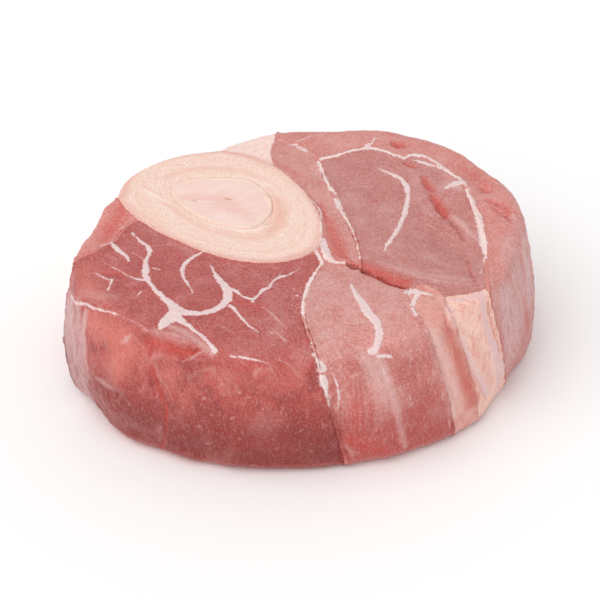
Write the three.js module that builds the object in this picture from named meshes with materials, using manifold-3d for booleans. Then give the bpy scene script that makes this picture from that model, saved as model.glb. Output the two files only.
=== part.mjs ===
// Raw veal osso buco: a slice sawn across a calf's shank, lying on its lower cut face.
// Millimetres, +Z up. The origin is under the middle of the slice, on the surface that it rests on.
// +X is to the right of someone who looks at the bone from across the meat, and +Y is away from them.
// The bone, its marrow, each muscle, the white tissue between the muscles, the fat pad behind the bone
// and the tendon and fat band at the flank all run through the slice from one cut face to the other.
import * as THREE from "three";
import { mergeVertices } from "three/addons/utils/BufferGeometryUtils.js";
import Module from "manifold-3d";

const wasm = await Module();
wasm.setup();

// Driving dimensions.
const THICKNESS = 34; // from one cut face to the other
const BELLY_HEIGHT = 12; // where the flank bulges furthest out
const FLOOR_ROUNDING = 2.6; // radius of the lower edge
const UPPER_FULLNESS = 1.6; // how late the flank draws in on its way up; 1 is a straight slope
const LOWER_FULLNESS = 2; // and on its way down
const GAP = 0.3; // between neighbouring pieces
const BONE_STANDS_PROUD = 0.6; // raw meat shrinks back from the sawn bone
const MARROW_SINKS = 0.5;
const TWIST = THREE.MathUtils.degToRad(7); // how far the muscles wind round the bone within the slice
const TWIST_BEGINS = -48; // the x where the winding begins; it is whole from TWIST_IS_WHOLE on
const TWIST_IS_WHOLE = 2;
const BONE_AXIS = new THREE.Vector2(-20, 14);

// How finely the shapes are divided.
const COLUMNS = 92; // round the flank
const FLANK_SHARES = [0, 0.12, 0.3, 0.48, 0.66, 0.84, 1]; // heights between the two rounded edges
const ROUNDING_SHARES = [0.34, 0.67]; // of the quarter turn at the upper edge
const FACE_SHARES = [0.08, 0.17, 0.27, 0.38, 0.51, 0.66, 0.82]; // from the upper edge to the middle
const WALL_STEPS = 2; // up a seam
const SEAM_PITCH = 2.8; // along a seam
const OUTSIDE = 8; // how far a cutter reaches past the faces that it cuts
const WIDER_THAN_ALL = 140; // a side of the block that cuts a layer, which reaches past every piece
const PROBE = 1; // a side of the small cube that finds a muscle by a place inside it

const RAW_MEAT = { roughness: 0.4, metalness: 0 };
const SEAM_WHITE = { color: 0xe9d3d0, roughness: 0.5, metalness: 0 };
const SAWN_BONE = { color: 0xf6dcc9, roughness: 0.55, metalness: 0 };
const MARROW_PINK = { color: 0xf4cdc2, roughness: 0.4, metalness: 0 };
const FIRM_FAT = { color: 0xf0cabd, roughness: 0.5, metalness: 0 };
const PALE_TENDON = { color: 0xe2b5a8, roughness: 0.45, metalness: 0 };

// The widest outline of the meat, at belly height, from the bone's left tip round by the front.
// Its last two points lie inside the bone, whose own wall closes the slice there.
const BELLY = [
  [-49.2, 17], [-51.8, 8.5], [-54.2, 0.5], [-56.6, -8], [-56, -17], [-51.6, -26.2], [-44.8, -34],
  [-35.5, -41.4], [-23, -46], [-8, -48.4], [7, -47.8], [20, -44.8], [31.5, -39.6], [41.5, -32.2],
  [49.4, -22], [55.2, -9.5], [57.9, 3], [57.2, 15], [53, 26], [45.8, 36.2], [35.6, 44.4], [23, 49.4],
  [9, 48.9], [-7, 48.6], [-14.5, 45.2], [-22, 40], [-27, 31], [-41, 20],
];

// How far the flank has drawn in at the cut faces, and how round its upper edge is, by the direction
// from the middle in degrees.
const UPPER_INSET = { everywhere: 2.2, more: [
  { towards: 352, spread: 30, by: 2.2 },
  { towards: 85, spread: 50, by: -2.6 },
  { towards: 212, spread: 24, by: 2.2 },
  { towards: 318, spread: 20, by: 1.2 },
] };
const UPPER_ROUNDING = { everywhere: 2.2, more: [
  { towards: 262, spread: 34, by: 3.8 },
  { towards: 318, spread: 16, by: 1.2 },
] };
const LOWER_INSET = { everywhere: 0.9, more: [
  { towards: 207, spread: 7, by: 3.8 },
  { towards: 232, spread: 5, by: 1.1 },
  { towards: 343, spread: 8, by: 3.2 },
] };

// Swells and hollows of the upper cut face: the middle, the reach each way, and the rise.
const FACE_RELIEF = [
  { name: "dish of the round muscle", at: [37, 0], reach: [8.5, 12], rise: -2.8 },
  { name: "rolled lip of the round muscle", at: [32, -18], reach: [12, 4], rise: 0.8 },
  { name: "dip in the round muscle", at: [22, 20], reach: [9, 12], rise: -0.9 },
  { name: "crest of the right edge", at: [49, -4], reach: [4, 12], rise: 0.9 },
  { name: "swell of the front muscle", at: [19, -28], reach: [12, 8], rise: 1.3 },
  { name: "slope of the front edge", at: [4, -50], reach: [34, 9], rise: -2.4 },
  { name: "hollow at the front left edge", at: [-25.5, -40.5], reach: [6.5, 2.6], rise: -2.2 },
  { name: "lift of the large muscle", at: [-14, -24], reach: [16, 10], rise: 0.5 },
  { name: "hollow of the left muscle", at: [-47, 3], reach: [3.6, 5.5], rise: -1.2 },
  { name: "sag of the left edge", at: [-52, -14], reach: [7, 8], rise: -1 },
  { name: "swell of the back edge", at: [20, 47], reach: [28, 7], rise: 0.8 },
  { name: "pit in the rim muscle", at: [27, 42.5], reach: [3.2, 3], rise: -1.6 },
  { name: "hollow of the rim muscle", at: [44, 29], reach: [3.5, 6], rise: -1.1 },
  { name: "lump on the rim muscle", at: [50, 15], reach: [3, 4.5], rise: 0.8 },
];

// Swells and furrows of the flank: direction in degrees, height, how far each reaches, and how far out.
const FLANK_RELIEF = [
  { name: "furrow of the front left flank", towards: 230.5, spread: 2.6, height: 17, tall: 13, out: -1.5 },
  { name: "bulge left of the furrow", towards: 219, spread: 7, height: 15, tall: 11, out: 0.9 },
  { name: "lip under the front left hollow", towards: 238, spread: 5.5, height: 27, tall: 3.2, out: 1.4 },
  { name: "bulge of the front flank", towards: 252, spread: 11, height: 13, tall: 9, out: 0.9 },
  { name: "furrow at the front seam", towards: 281, spread: 3, height: 12, tall: 12, out: -1.3 },
  { name: "bulge of the front muscle", towards: 297, spread: 7, height: 15, tall: 10, out: 0.8 },
  { name: "furrow beside the fat band", towards: 333, spread: 4, height: 12, tall: 13, out: -1.1 },
  { name: "bulge of the right flank", towards: 352, spread: 11, height: 11, tall: 9, out: 0.7 },
  { name: "furrow of the back", towards: 62, spread: 4, height: 17, tall: 14, out: -1.4 },
  { name: "furrow beside the fat pad", towards: 99, spread: 3.2, height: 17, tall: 14, out: -1.2 },
];

// Outlines and seams, as they show on the upper cut face.
const BONE_OUTER = [
  [-45, 17.5], [-43, 25.2], [-36.5, 32.6], [-28, 37], [-19, 37.8], [-10.5, 34.6], [-3.6, 27],
  [2.2, 16.4], [5.3, 5], [4.6, -4.2], [-1, -10.2], [-9.6, -11.8], [-19, -9.2], [-30, -1.8], [-39.6, 7.6],
];
const BONE_HOLLOW = [
  [-32, 18.6], [-29.2, 23.6], [-20.5, 25.2], [-12.4, 23.8], [-7.6, 17], [-6.9, 9.8], [-11.2, 3],
  [-19, 4.2], [-27, 10],
];
const FAT_PAD = [[-30, 33], [-29, 42], [-18, 50], [-7.2, 54], [-6.4, 46], [-7.6, 38], [-7, 31], [-16, 30]];
const TENDON = [
  [24.8, -24.6], [26.6, -21.2], [30, -21.4], [33, -24.6], [34.2, -31], [37.4, -38], [44, -48],
  [36, -54], [29.4, -38], [26, -30],
];
const FAT_BAND = [
  [33.4, -25.4], [37.2, -24.6], [40.6, -23.4], [43.2, -21.4], [44.2, -24.8], [46, -28.4], [51.6, -35],
  [45, -48], [37.6, -38], [34.6, -31],
];
const SEAMS = [
  { name: "front seam", thickness: 0.7, top: THICKNESS + OUTSIDE,
    along: [[4.4, -7], [5, -12], [2.2, -19.5], [0.8, -27], [1, -35], [2.6, -42], [5, -58]] },
  { name: "fork of tissue at the bone", thickness: 2.4, top: THICKNESS + OUTSIDE,
    along: [[3.4, -5], [5.6, -9], [8, -11.2], [11, -11.6]] },
  { name: "crease in front of the round muscle", thickness: 0.8, top: THICKNESS - 2.6,
    along: [[9, -11.3], [14, -13.4], [17.6, -16.6], [21.6, -20.2], [25.4, -22.4], [28.4, -24.4]] },
  { name: "seam of the strip muscle", thickness: 0.7, top: THICKNESS + OUTSIDE,
    along: [[-10, 43.8], [-2.6, 42.6], [3, 38], [5, 33], [6.6, 24.6], [9.1, 14.5], [12.2, 4],
      [13.8, -4], [14.2, -13.4]] },
  { name: "seam of the rim muscle", thickness: 0.9, top: THICKNESS + OUTSIDE,
    along: [[4.4, 34.6], [9.4, 36], [15.4, 39.6], [20.8, 39.2], [25.4, 36], [30, 36.4], [35.4, 31],
      [40, 25], [42.4, 14.5], [44.4, 1], [44, -12], [43.4, -23]] },
  { name: "seam of the left muscle", thickness: 0.5, top: THICKNESS + OUTSIDE,
    along: [[-36, 9], [-42.2, 4.6], [-45, -2.4], [-50.6, -7], [-66, -16]] },
];

// A place inside each muscle, by which it is told from the others, and its colour.
const MUSCLES = [
  { name: "muscle_large", at: [-14, -28], color: 0xb96a64 },
  { name: "muscle_front", at: [12, -34], color: 0xcf9089 },
  { name: "muscle_round", at: [26, 10], color: 0xc58a85 },
  { name: "muscle_strip", at: [6, 10], color: 0xcc8a82 },
  { name: "muscle_rim", at: [49, 10], color: 0xd18a7e },
  { name: "muscle_left", at: [-49, 2], color: 0xd77b70 },
];

// Numbers that vary over the slice.
const bell = (distance, reach) => Math.exp(-((distance / reach) ** 2));
const turnedBy = (from, to) => ((to - from + 540) % 360) - 180;

const nearDirection = ({ towards, spread }, degrees) => bell(turnedBy(towards, degrees), spread);

function byDirection({ everywhere, more }, degrees) {
  return more.reduce((sum, swell) => sum + swell.by * nearDirection(swell, degrees), everywhere);
}

function faceHeight(x, y) {
  return FACE_RELIEF.reduce((height, { at, reach, rise }) => (
    height + rise * bell(x - at[0], reach[0]) * bell(y - at[1], reach[1])
  ), THICKNESS);
}

function flankSwell(degrees, height) {
  return FLANK_RELIEF.reduce((out, swell) => (
    out + swell.out * nearDirection(swell, degrees) * bell(height - swell.height, swell.tall)
  ), 0);
}

// A smooth line through points, divided evenly; a closed one doesn't repeat its first point.
function lineThrough(points, closed, divisions) {
  const corners = points.map(([x, y]) => new THREE.Vector3(x, y, 0));
  const curve = new THREE.CatmullRomCurve3(corners, closed, "centripetal");
  const count = divisions ?? Math.ceil(curve.getLength() / SEAM_PITCH);
  const line = curve.getSpacedPoints(count).map(({ x, y }) => new THREE.Vector2(x, y));
  return closed ? line.slice(0, -1) : line;
}

// The same line moved sideways, to the right of its direction.
function movedAside(line, distance, closed) {
  const count = line.length;
  return line.map((point, i) => {
    const before = closed ? line[(i + count - 1) % count] : line[Math.max(i - 1, 0)];
    const after = closed ? line[(i + 1) % count] : line[Math.min(i + 1, count - 1)];
    const ahead = after.clone().sub(before).normalize();
    return new THREE.Vector2(point.x + ahead.y * distance, point.y - ahead.x * distance);
  });
}

const counterClockwise = (line) => (THREE.ShapeUtils.isClockWise(line) ? [...line].reverse() : line);

// A closed mesh as a solid that can be joined and cut.
function solidOf(geometry) {
  const bare = geometry.clone();
  bare.deleteAttribute("normal");
  bare.deleteAttribute("uv");
  const merged = mergeVertices(bare);
  return new wasm.Manifold(new wasm.Mesh({
    numProp: 3,
    vertProperties: new Float32Array(merged.attributes.position.array),
    triVerts: new Uint32Array(merged.index.array),
  }));
}

function meshOf(name, solid, finish) {
  const { vertProperties, triVerts } = solid.getMesh();
  const geometry = new THREE.BufferGeometry();
  geometry.setAttribute("position", new THREE.BufferAttribute(vertProperties, 3));
  geometry.setIndex(new THREE.BufferAttribute(triVerts, 1));
  geometry.computeVertexNormals();
  const mesh = new THREE.Mesh(geometry, new THREE.MeshStandardMaterial(finish));
  mesh.name = name;
  return mesh;
}

const union = (solids) => wasm.Manifold.union(solids);

// Everything between two heights.
function layer(low, high) {
  const block = new THREE.BoxGeometry(WIDER_THAN_ALL, WIDER_THAN_ALL, high - low);
  return solidOf(block.translate(0, 0, (low + high) / 2));
}

// An upright column of a closed outline that reaches past both cut faces.
function column(outline, steps) {
  const shape = new THREE.Shape(counterClockwise(outline));
  const depth = THICKNESS + 2 * OUTSIDE;
  return new THREE.ExtrudeGeometry(shape, { depth, steps, bevelEnabled: false }).translate(0, 0, -OUTSIDE);
}

// The column, wound about the bone as it goes down, as the muscles are.
function woundColumn(outline) {
  const geometry = column(outline, WALL_STEPS);
  const corners = geometry.attributes.position;
  for (let i = 0; i < corners.count; i++) {
    const place = new THREE.Vector2(corners.getX(i), corners.getY(i));
    const depth = 1 - corners.getZ(i) / THICKNESS;
    const share = THREE.MathUtils.smoothstep(place.x, TWIST_BEGINS, TWIST_IS_WHOLE);
    place.rotateAround(BONE_AXIS, TWIST * depth * share);
    corners.setXY(i, place.x, place.y);
  }
  return solidOf(geometry);
}

// A thin upright sheet along a seam, with room left round it and past its ends.
function seamSheet({ along, thickness }, room) {
  const line = lineThrough(along, false);
  const start = line[0].clone().sub(line[1]).setLength(room).add(line[0]);
  const end = line.at(-1).clone().sub(line.at(-2)).setLength(room).add(line.at(-1));
  const whole = [start, ...line.slice(1, -1), end];
  const half = thickness / 2 + room;
  return woundColumn([...movedAside(whole, half, false), ...movedAside(whole, -half, false).reverse()]);
}

const outlineOf = (points, room) => movedAside(counterClockwise(lineThrough(points, true)), room, true);
const straight = (points, room) => solidOf(column(outlineOf(points, room), 1));
const wound = (points, room) => woundColumn(outlineOf(points, room));

// The line up the flank and over the upper cut face, from the underside to just short of the middle.
function flankProfile(belly) {
  const degrees = THREE.MathUtils.radToDeg(belly.angle());
  const upperInset = byDirection(UPPER_INSET, degrees);
  const rounding = byDirection(UPPER_ROUNDING, degrees);
  const lowerInset = byDirection(LOWER_INSET, degrees);
  const drawnIn = (inset) => belly.clone().setLength(belly.length() - inset);
  const brim = drawnIn(upperInset + rounding);
  const brimHeight = faceHeight(brim.x, brim.y);
  const insetAt = (height) => {
    const above = Math.max(0, height - BELLY_HEIGHT) / (brimHeight - BELLY_HEIGHT);
    const below = Math.max(0, BELLY_HEIGHT - height) / BELLY_HEIGHT;
    return upperInset * above ** UPPER_FULLNESS + lowerInset * below ** LOWER_FULLNESS
      - flankSwell(degrees, height);
  };
  const profile = [];
  const add = ({ x, y }, height) => profile.push([x, y, height]);

  const soleInset = insetAt(0);
  add(drawnIn(soleInset + FLOOR_ROUNDING), 0);
  add(drawnIn(soleInset + FLOOR_ROUNDING * (1 - Math.SQRT1_2)), FLOOR_ROUNDING * (1 - Math.SQRT1_2));
  const shoulder = brimHeight - rounding;
  for (const share of FLANK_SHARES) {
    const height = THREE.MathUtils.lerp(FLOOR_ROUNDING, shoulder, share);
    add(drawnIn(insetAt(height)), height);
  }
  const shoulderInset = insetAt(shoulder);
  for (const share of ROUNDING_SHARES) {
    const turn = (share * Math.PI) / 2;
    add(drawnIn(shoulderInset + rounding * (1 - Math.cos(turn))), shoulder + rounding * Math.sin(turn));
  }
  const edge = drawnIn(shoulderInset + rounding);
  add(edge, brimHeight);
  for (const share of FACE_SHARES) {
    const place = edge.clone().multiplyScalar(1 - share);
    add(place, faceHeight(place.x, place.y));
  }
  return profile;
}

// The whole slice of meat, before the bone and the seams divide it.
function meatSlice() {
  const profiles = lineThrough(BELLY, true, COLUMNS).map(flankProfile);
  const rows = profiles[0].length;
  const corners = profiles.flat();
  const underside = corners.push([0, 0, 0]) - 1;
  const summit = corners.push([0, 0, faceHeight(0, 0)]) - 1;
  const faces = profiles.flatMap((_, i) => {
    const here = i * rows;
    const next = ((i + 1) % profiles.length) * rows;
    const strip = [underside, next, here, here + rows - 1, next + rows - 1, summit];
    for (let k = 0; k < rows - 1; k++) {
      strip.push(here + k, next + k, next + k + 1, here + k, next + k + 1, here + k + 1);
    }
    return strip;
  });
  const geometry = new THREE.BufferGeometry();
  geometry.setAttribute("position", new THREE.Float32BufferAttribute(corners.flat(), 3));
  geometry.setIndex(faces);
  return solidOf(geometry);
}

// The sawn shank bone and the marrow that fills it.
const bone = straight(BONE_OUTER, 0)
  .subtract(straight(BONE_HOLLOW, 0))
  .intersect(layer(0, THICKNESS + BONE_STANDS_PROUD));
const marrow = straight(BONE_HOLLOW, -GAP).intersect(layer(0, THICKNESS - MARROW_SINKS));

// The fat and the tendon, which reach the flank.
const slice = meatSlice();
const boneRoom = straight(BONE_OUTER, GAP);
const bandRoom = wound(FAT_BAND, GAP);
const fatPad = slice.intersect(straight(FAT_PAD, 0)).subtract(boneRoom);
const fatBand = slice.intersect(wound(FAT_BAND, 0));
const tendon = slice.intersect(wound(TENDON, 0)).subtract(bandRoom);

// The white tissue fills the seams. The left muscle's seam ends at the bone, so its tissue lies apart.
const rooms = union([boneRoom, bandRoom, straight(FAT_PAD, GAP), wound(TENDON, GAP)]);
const sheets = SEAMS.map((seam) => seamSheet(seam, 0).intersect(layer(GAP, seam.top)));
const [tissue, leftTissue] = slice.intersect(union(sheets)).subtract(rooms).decompose()
  .sort((a, b) => b.volume() - a.volume());

// What is left of the slice is flesh, which the seams part into muscles.
const flesh = slice.subtract(union([rooms, ...SEAMS.map((seam) => seamSheet(seam, GAP))])).decompose();

function muscleAt([x, y]) {
  const probe = solidOf(new THREE.BoxGeometry(PROBE, PROBE, PROBE).translate(x, y, THICKNESS / 2));
  return flesh.find((piece) => !piece.intersect(probe).isEmpty());
}

const ossoBuco = new THREE.Group();
ossoBuco.add(
  meshOf("bone", bone, SAWN_BONE),
  meshOf("marrow", marrow, MARROW_PINK),
  meshOf("fat_pad", fatPad, FIRM_FAT),
  meshOf("fat_band", fatBand, FIRM_FAT),
  meshOf("tendon", tendon, PALE_TENDON),
  meshOf("white_tissue", tissue, SEAM_WHITE),
  meshOf("white_tissue_left", leftTissue, SEAM_WHITE),
  ...MUSCLES.map(({ name, at, color }) => meshOf(name, muscleAt(at), { ...RAW_MEAT, color })),
);

const middle = new THREE.Box3().setFromObject(ossoBuco).getCenter(new THREE.Vector3());
for (const piece of ossoBuco.children) piece.geometry.translate(-middle.x, -middle.y, 0);

export default ossoBuco;
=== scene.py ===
# %% [markdown]
# # Raw veal osso buco
# A slice sawn across a calf's shank lies on its lower cut face. A ring of bone with its marrow sits at
# the back left, and six muscles, parted by white seams, lie round it. Fat and a tendon reach the flank
# at the front right. Everything is in metres, and every piece keeps the place of its CAD solid.

import math

import bpy
import numpy as np
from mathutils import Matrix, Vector, noise
from mathutils.bvhtree import BVHTree


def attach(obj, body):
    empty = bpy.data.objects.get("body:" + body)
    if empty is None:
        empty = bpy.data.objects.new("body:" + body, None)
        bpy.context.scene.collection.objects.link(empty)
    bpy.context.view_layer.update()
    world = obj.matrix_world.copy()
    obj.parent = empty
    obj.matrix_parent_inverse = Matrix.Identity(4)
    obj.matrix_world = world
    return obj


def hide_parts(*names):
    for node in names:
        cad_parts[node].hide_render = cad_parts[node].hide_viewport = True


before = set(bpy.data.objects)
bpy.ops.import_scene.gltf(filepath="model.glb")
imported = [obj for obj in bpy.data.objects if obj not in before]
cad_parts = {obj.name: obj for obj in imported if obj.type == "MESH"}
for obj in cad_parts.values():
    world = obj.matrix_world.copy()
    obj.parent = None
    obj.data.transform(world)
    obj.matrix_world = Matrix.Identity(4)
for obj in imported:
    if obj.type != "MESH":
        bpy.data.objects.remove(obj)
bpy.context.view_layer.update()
MM = 0.001
print("solids:", ", ".join(sorted(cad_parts)))

# %% [markdown]
# ## Camera
# The photograph looks down on the slice at 36 degrees from in front, with the bone to the left. A long
# lens half a metre away gives its weak perspective. The camera comes first, because the veins and
# creases are traced in the photograph's pixels and dropped along its rays onto the meat.

# %% Camera
ELEVATION = math.radians(36)
DISTANCE = 0.5
VIEW_ANGLE = math.radians(16.8)
LOOKS_AT = Vector((-0.719, -0.473, 15)) * MM
PHOTO_SIDE = 600

FORWARD = Vector((0, math.cos(ELEVATION), -math.sin(ELEVATION)))
RIGHT = Vector((1, 0, 0))
UP = RIGHT.cross(FORWARD)
EYE = LOOKS_AT - FORWARD * DISTANCE

bpy.ops.object.camera_add(location=EYE, rotation=(math.pi / 2 - ELEVATION, 0, 0))
camera = bpy.context.object
camera.data.sensor_fit = "HORIZONTAL"
camera.data.angle = VIEW_ANGLE
bpy.context.scene.camera = camera
print("camera at", [round(c, 3) for c in EYE])


def ray_through(u, v):
    """The direction from the camera through a pixel of the photograph."""
    focal = PHOTO_SIDE / 2 / math.tan(VIEW_ANGLE / 2)
    right, up = u - PHOTO_SIDE / 2, PHOTO_SIDE / 2 - v
    return (FORWARD * focal + RIGHT * right + UP * up).normalized()


# %% [markdown]
# ## Light and floor
# A photographer lights raw meat with a big soft light overhead and white walls round it, so that its
# colours stay true and only the moist film glints. A white world does for the walls. A sun lamp with a
# very wide disc does for the soft light, because it lights the whole floor alike, which stays white.

# %% Light and floor
WORLD_LIGHT = 0.64
SUN_STRENGTH = 1.42
SUN_WIDTH = math.radians(75)
SUN_COMES_FROM = Vector((-0.4, -0.45, 1))
FLOOR_WHITE = (1, 1, 1, 1)

world = bpy.data.worlds.new("white_room")
world.use_nodes = True
world.node_tree.nodes["Background"].inputs["Color"].default_value = (1, 1, 1, 1)
world.node_tree.nodes["Background"].inputs["Strength"].default_value = WORLD_LIGHT
bpy.context.scene.world = world
bpy.context.scene.view_settings.view_transform = "Standard"

bpy.ops.object.light_add(type="SUN", location=SUN_COMES_FROM)
soft_sun = bpy.context.object
soft_sun.data.energy = SUN_STRENGTH
soft_sun.data.angle = SUN_WIDTH
soft_sun.rotation_euler = (-SUN_COMES_FROM).to_track_quat("-Z", "Y").to_euler()

bpy.ops.object.select_all(action="DESELECT")
bpy.ops.mesh.primitive_plane_add(size=3, location=(0, 0, -0.0002))
floor = bpy.context.object
floor.name = "floor"
paint = bpy.data.materials.new("floor_white")
paint.use_nodes = True
paint.node_tree.nodes["Principled BSDF"].inputs["Base Color"].default_value = FLOOR_WHITE
paint.node_tree.nodes["Principled BSDF"].inputs["Roughness"].default_value = 0.9
floor.data.materials.append(paint)

# %% [markdown]
# ## From a solid to a skin that can be shaped
# The CAD solids have large flat triangles. Flesh needs an even skin of small faces: a copy of the solid
# is merged, then rebuilt by a voxel Remesh, smoothed where nothing touches it, and grown a little so
# that neighbours meet without a gap. Only the faces that show are divided once more, which saves half.

# %% Copy a solid and give it an even skin
def only(piece):
    """Selects one object alone, as a click on it would."""
    bpy.ops.object.select_all(action="DESELECT")
    piece.select_set(True)
    bpy.context.view_layer.objects.active = piece


def finished(piece, name, kind, **settings):
    """Adds a modifier and applies it."""
    modifier = piece.modifiers.new(name, kind)
    for key, value in settings.items():
        setattr(modifier, key, value)
    only(piece)
    bpy.ops.object.modifier_apply(modifier=modifier.name)


def merged_copy(node, name):
    """A copy of a CAD solid as one closed mesh."""
    piece = bpy.data.objects.new(name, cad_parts[node].data.copy())
    bpy.context.scene.collection.objects.link(piece)
    piece.data.name = name
    piece.data.materials.clear()
    only(piece)
    bpy.ops.object.mode_set(mode="EDIT")
    bpy.ops.mesh.select_all(action="SELECT")
    bpy.ops.mesh.remove_doubles(threshold=0.002 * MM)
    bpy.ops.object.mode_set(mode="OBJECT")
    return piece


# %% Measure a skin: places, directions and how near the neighbours are
def places(piece):
    flat = np.empty(len(piece.data.vertices) * 3, np.float32)
    piece.data.vertices.foreach_get("co", flat)
    return flat.reshape(-1, 3).astype(float)


def directions(piece):
    flat = np.empty(len(piece.data.vertices) * 3, np.float32)
    piece.data.vertex_normals.foreach_get("vector", flat)
    return flat.reshape(-1, 3).astype(float)


def tree_of(nodes):
    """The surfaces of several CAD solids, ready for fast searches."""
    corners, faces = [], []
    for node in nodes:
        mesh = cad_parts[node].data
        first = len(corners)
        corners += [v.co.copy() for v in mesh.vertices]
        faces += [[first + i for i in face.vertices] for face in mesh.polygons]
    return BVHTree.FromPolygons(corners, faces)


def distance_to(tree, points, reach):
    """Each point's distance to the nearest surface in a tree, at most the reach."""
    found = [tree.find_nearest(point, reach)[3] for point in points]
    return np.array([reach if d is None else d for d in found])


def group_of(piece, name, weights):
    """A vertex group from one weight for each vertex."""
    group = piece.vertex_groups.new(name=name)
    for i in np.nonzero(weights > 0.004)[0].tolist():
        group.add([i], float(weights[i]), "REPLACE")
    return group.name


def ramp(values, low, high):
    """0 below the low value, 1 above the high one, and straight between."""
    return np.clip((values - low) / (high - low), 0, 1)


# %% Divide the faces that show
NODES = sorted(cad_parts)
TOP = 34 * MM          # the upper cut face
UPPER = TOP - 5 * MM   # what faces up above this belongs to the cut face, however it swells
FACES_UP = 0.55
FOOT = 1.2 * MM        # below this a side stands in its own shade
CLOSE = 0.9 * MM       # a wall nearer than this to its neighbour is hidden


def divide(piece, wanted, cuts):
    """Divides the faces all of whose corners are wanted."""
    only(piece)
    bpy.ops.object.mode_set(mode="EDIT")
    bpy.ops.mesh.select_mode(type="FACE")
    bpy.ops.mesh.select_all(action="DESELECT")
    bpy.ops.object.mode_set(mode="OBJECT")
    for face in piece.data.polygons:
        face.select = all(wanted[i] for i in face.vertices)
    bpy.ops.object.mode_set(mode="EDIT")
    bpy.ops.mesh.subdivide(number_cuts=cuts)
    bpy.ops.object.mode_set(mode="OBJECT")


def is_cut_face(piece):
    """Whether each vertex lies on the upper cut face."""
    return (places(piece)[:, 2] > UPPER) & (directions(piece)[:, 2] > FACES_UP)


def is_flank(piece, others):
    """Whether each vertex lies on a side that shows, above the very foot."""
    points = places(piece)
    near = distance_to(others, points, CLOSE) < CLOSE
    return ~near & (points[:, 2] > FOOT) & ~is_cut_face(piece)


# %% Smooth, grow and thin out the walls
FAR = 3 * MM           # a neighbour farther than this doesn't matter
STIFF = 0.35           # how much of the smoothing reaches a wall that touches its neighbour
GAP_REACH = 1.2 * MM   # walls nearer than this to a neighbour grow towards it
DEPTH_KEPT = 1.5 * MM  # hidden walls are thinned out deeper than this below the cut faces


def soften(piece, apart, rounds):
    """Smooths the whole a little, and what is free of the floor and of neighbours more."""
    height = places(piece)[:, 2]
    firm = group_of(piece, "firm", np.clip(apart / (2 * MM), STIFF, 1))
    loose = group_of(piece, "loose", ramp(height, 2.5 * MM, 4.5 * MM) * ramp(apart, 0.8 * MM, 2.6 * MM))
    finished(piece, "soften", "SMOOTH", factor=0.5, iterations=3, vertex_group=firm)
    finished(piece, "relax", "SMOOTH", factor=0.5, iterations=rounds, vertex_group=loose)


def grow_walls(piece, apart, growth):
    """Pushes the walls at the seams outwards, which closes the gaps between the solids."""
    walls = (1 - apart / GAP_REACH) * ramp(places(piece)[:, 2], 0, 0.8 * MM)
    walls *= np.clip(1.5 - np.abs(directions(piece)[:, 2]), 0, 1)
    group = group_of(piece, "walls", np.clip(2.5 * walls, 0, 1))
    finished(piece, "grow", "DISPLACE", strength=growth, mid_level=0, vertex_group=group)


def thin_out(piece, others):
    """Takes faces from the walls that no one sees, deep in a seam."""
    deep = np.abs(places(piece)[:, 2] - TOP / 2) < TOP / 2 - DEPTH_KEPT
    walls = distance_to(others, places(piece), CLOSE) < CLOSE
    hidden = group_of(piece, "hidden", (deep & walls).astype(float))
    finished(piece, "thin out", "DECIMATE", ratio=0.6, vertex_group=hidden)


# %% Even skin
def even_skin(node, name, voxel, growth, smoothing, cuts=(2, 1)):
    """A CAD solid's copy with an even skin; its walls grow towards the neighbours."""
    piece = merged_copy(node, name)
    finished(piece, "even", "REMESH", mode="VOXEL", voxel_size=voxel)
    others = tree_of([n for n in NODES if n != node])
    apart = distance_to(others, places(piece), FAR)
    soften(piece, apart, smoothing)
    grow_walls(piece, apart, growth)
    if node == "white_tissue":
        thin_out(piece, others)
    divide(piece, is_cut_face(piece), cuts[0])
    divide(piece, is_flank(piece, others), cuts[1])
    finished(piece, "ease", "SMOOTH", factor=0.5, iterations=2)
    only(piece)
    bpy.ops.object.shade_smooth()
    piece.vertex_groups.clear()
    print(f"{name}: {len(piece.data.vertices)} vertices, {len(piece.data.polygons)} faces")
    return piece


# %% [markdown]
# ## The six muscles
# Each muscle is a bundle of fibres in its own thin sheath, so each is its own piece. They are made in a
# loop from their solids, and stay apart in the list because each has its own shade of pink.

# %% Make the muscles
FINE = 0.7 * MM
GROWTH = 0.62 * MM
MUSCLES = {
    "muscle_large": "large_muscle",
    "muscle_front": "front_muscle",
    "muscle_round": "round_muscle",
    "muscle_strip": "strip_muscle",
    "muscle_rim": "rim_muscle",
    "muscle_left": "left_muscle",
}
pieces = {node: even_skin(node, name, FINE, GROWTH, 20) for node, name in MUSCLES.items()}

# %% [markdown]
# ## The white tissue, the fat and the tendon
# Connective tissue holds the muscles apart and shows as white lines. The fat pad sits behind the bone,
# and the fat band and the tendon run down the flank. They are firmer than flesh, so they are softened
# less, and the thin tissue is rebuilt from smaller voxels so that they don't break it.

# %% Make the tissue, fat and tendon
TISSUES = {
    "white_tissue": ("seam_tissue", 0.44 * MM, 0.35 * MM, 0, (1, 0)),
    "white_tissue_left": ("left_seam_tissue", 0.4 * MM, 0.3 * MM, 0, (1, 0)),
    "fat_pad": ("bone_fat", FINE, 0.45 * MM, 10, (2, 1)),
    "fat_band": ("flank_fat", FINE, 0.45 * MM, 10, (2, 2)),
    "tendon": ("flank_tendon", FINE, 0.45 * MM, 10, (2, 2)),
}
for node, (name, voxel, growth, smoothing, cuts) in TISSUES.items():
    pieces[node] = even_skin(node, name, voxel, growth, smoothing, cuts)

# %% [markdown]
# ## The bone and the marrow
# The saw leaves the bone a flat hard ring with a slightly broken rim, and the marrow shrinks a little
# below it. Both are cut straight through, so their outlines are kept and only their edges are eased.

# %% Make the bone and the marrow
pieces["bone"] = even_skin("bone", "shank_bone", FINE, 0.25 * MM, 3)
pieces["marrow"] = even_skin("marrow", "shank_marrow", FINE, 0.7 * MM, 0)

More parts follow.
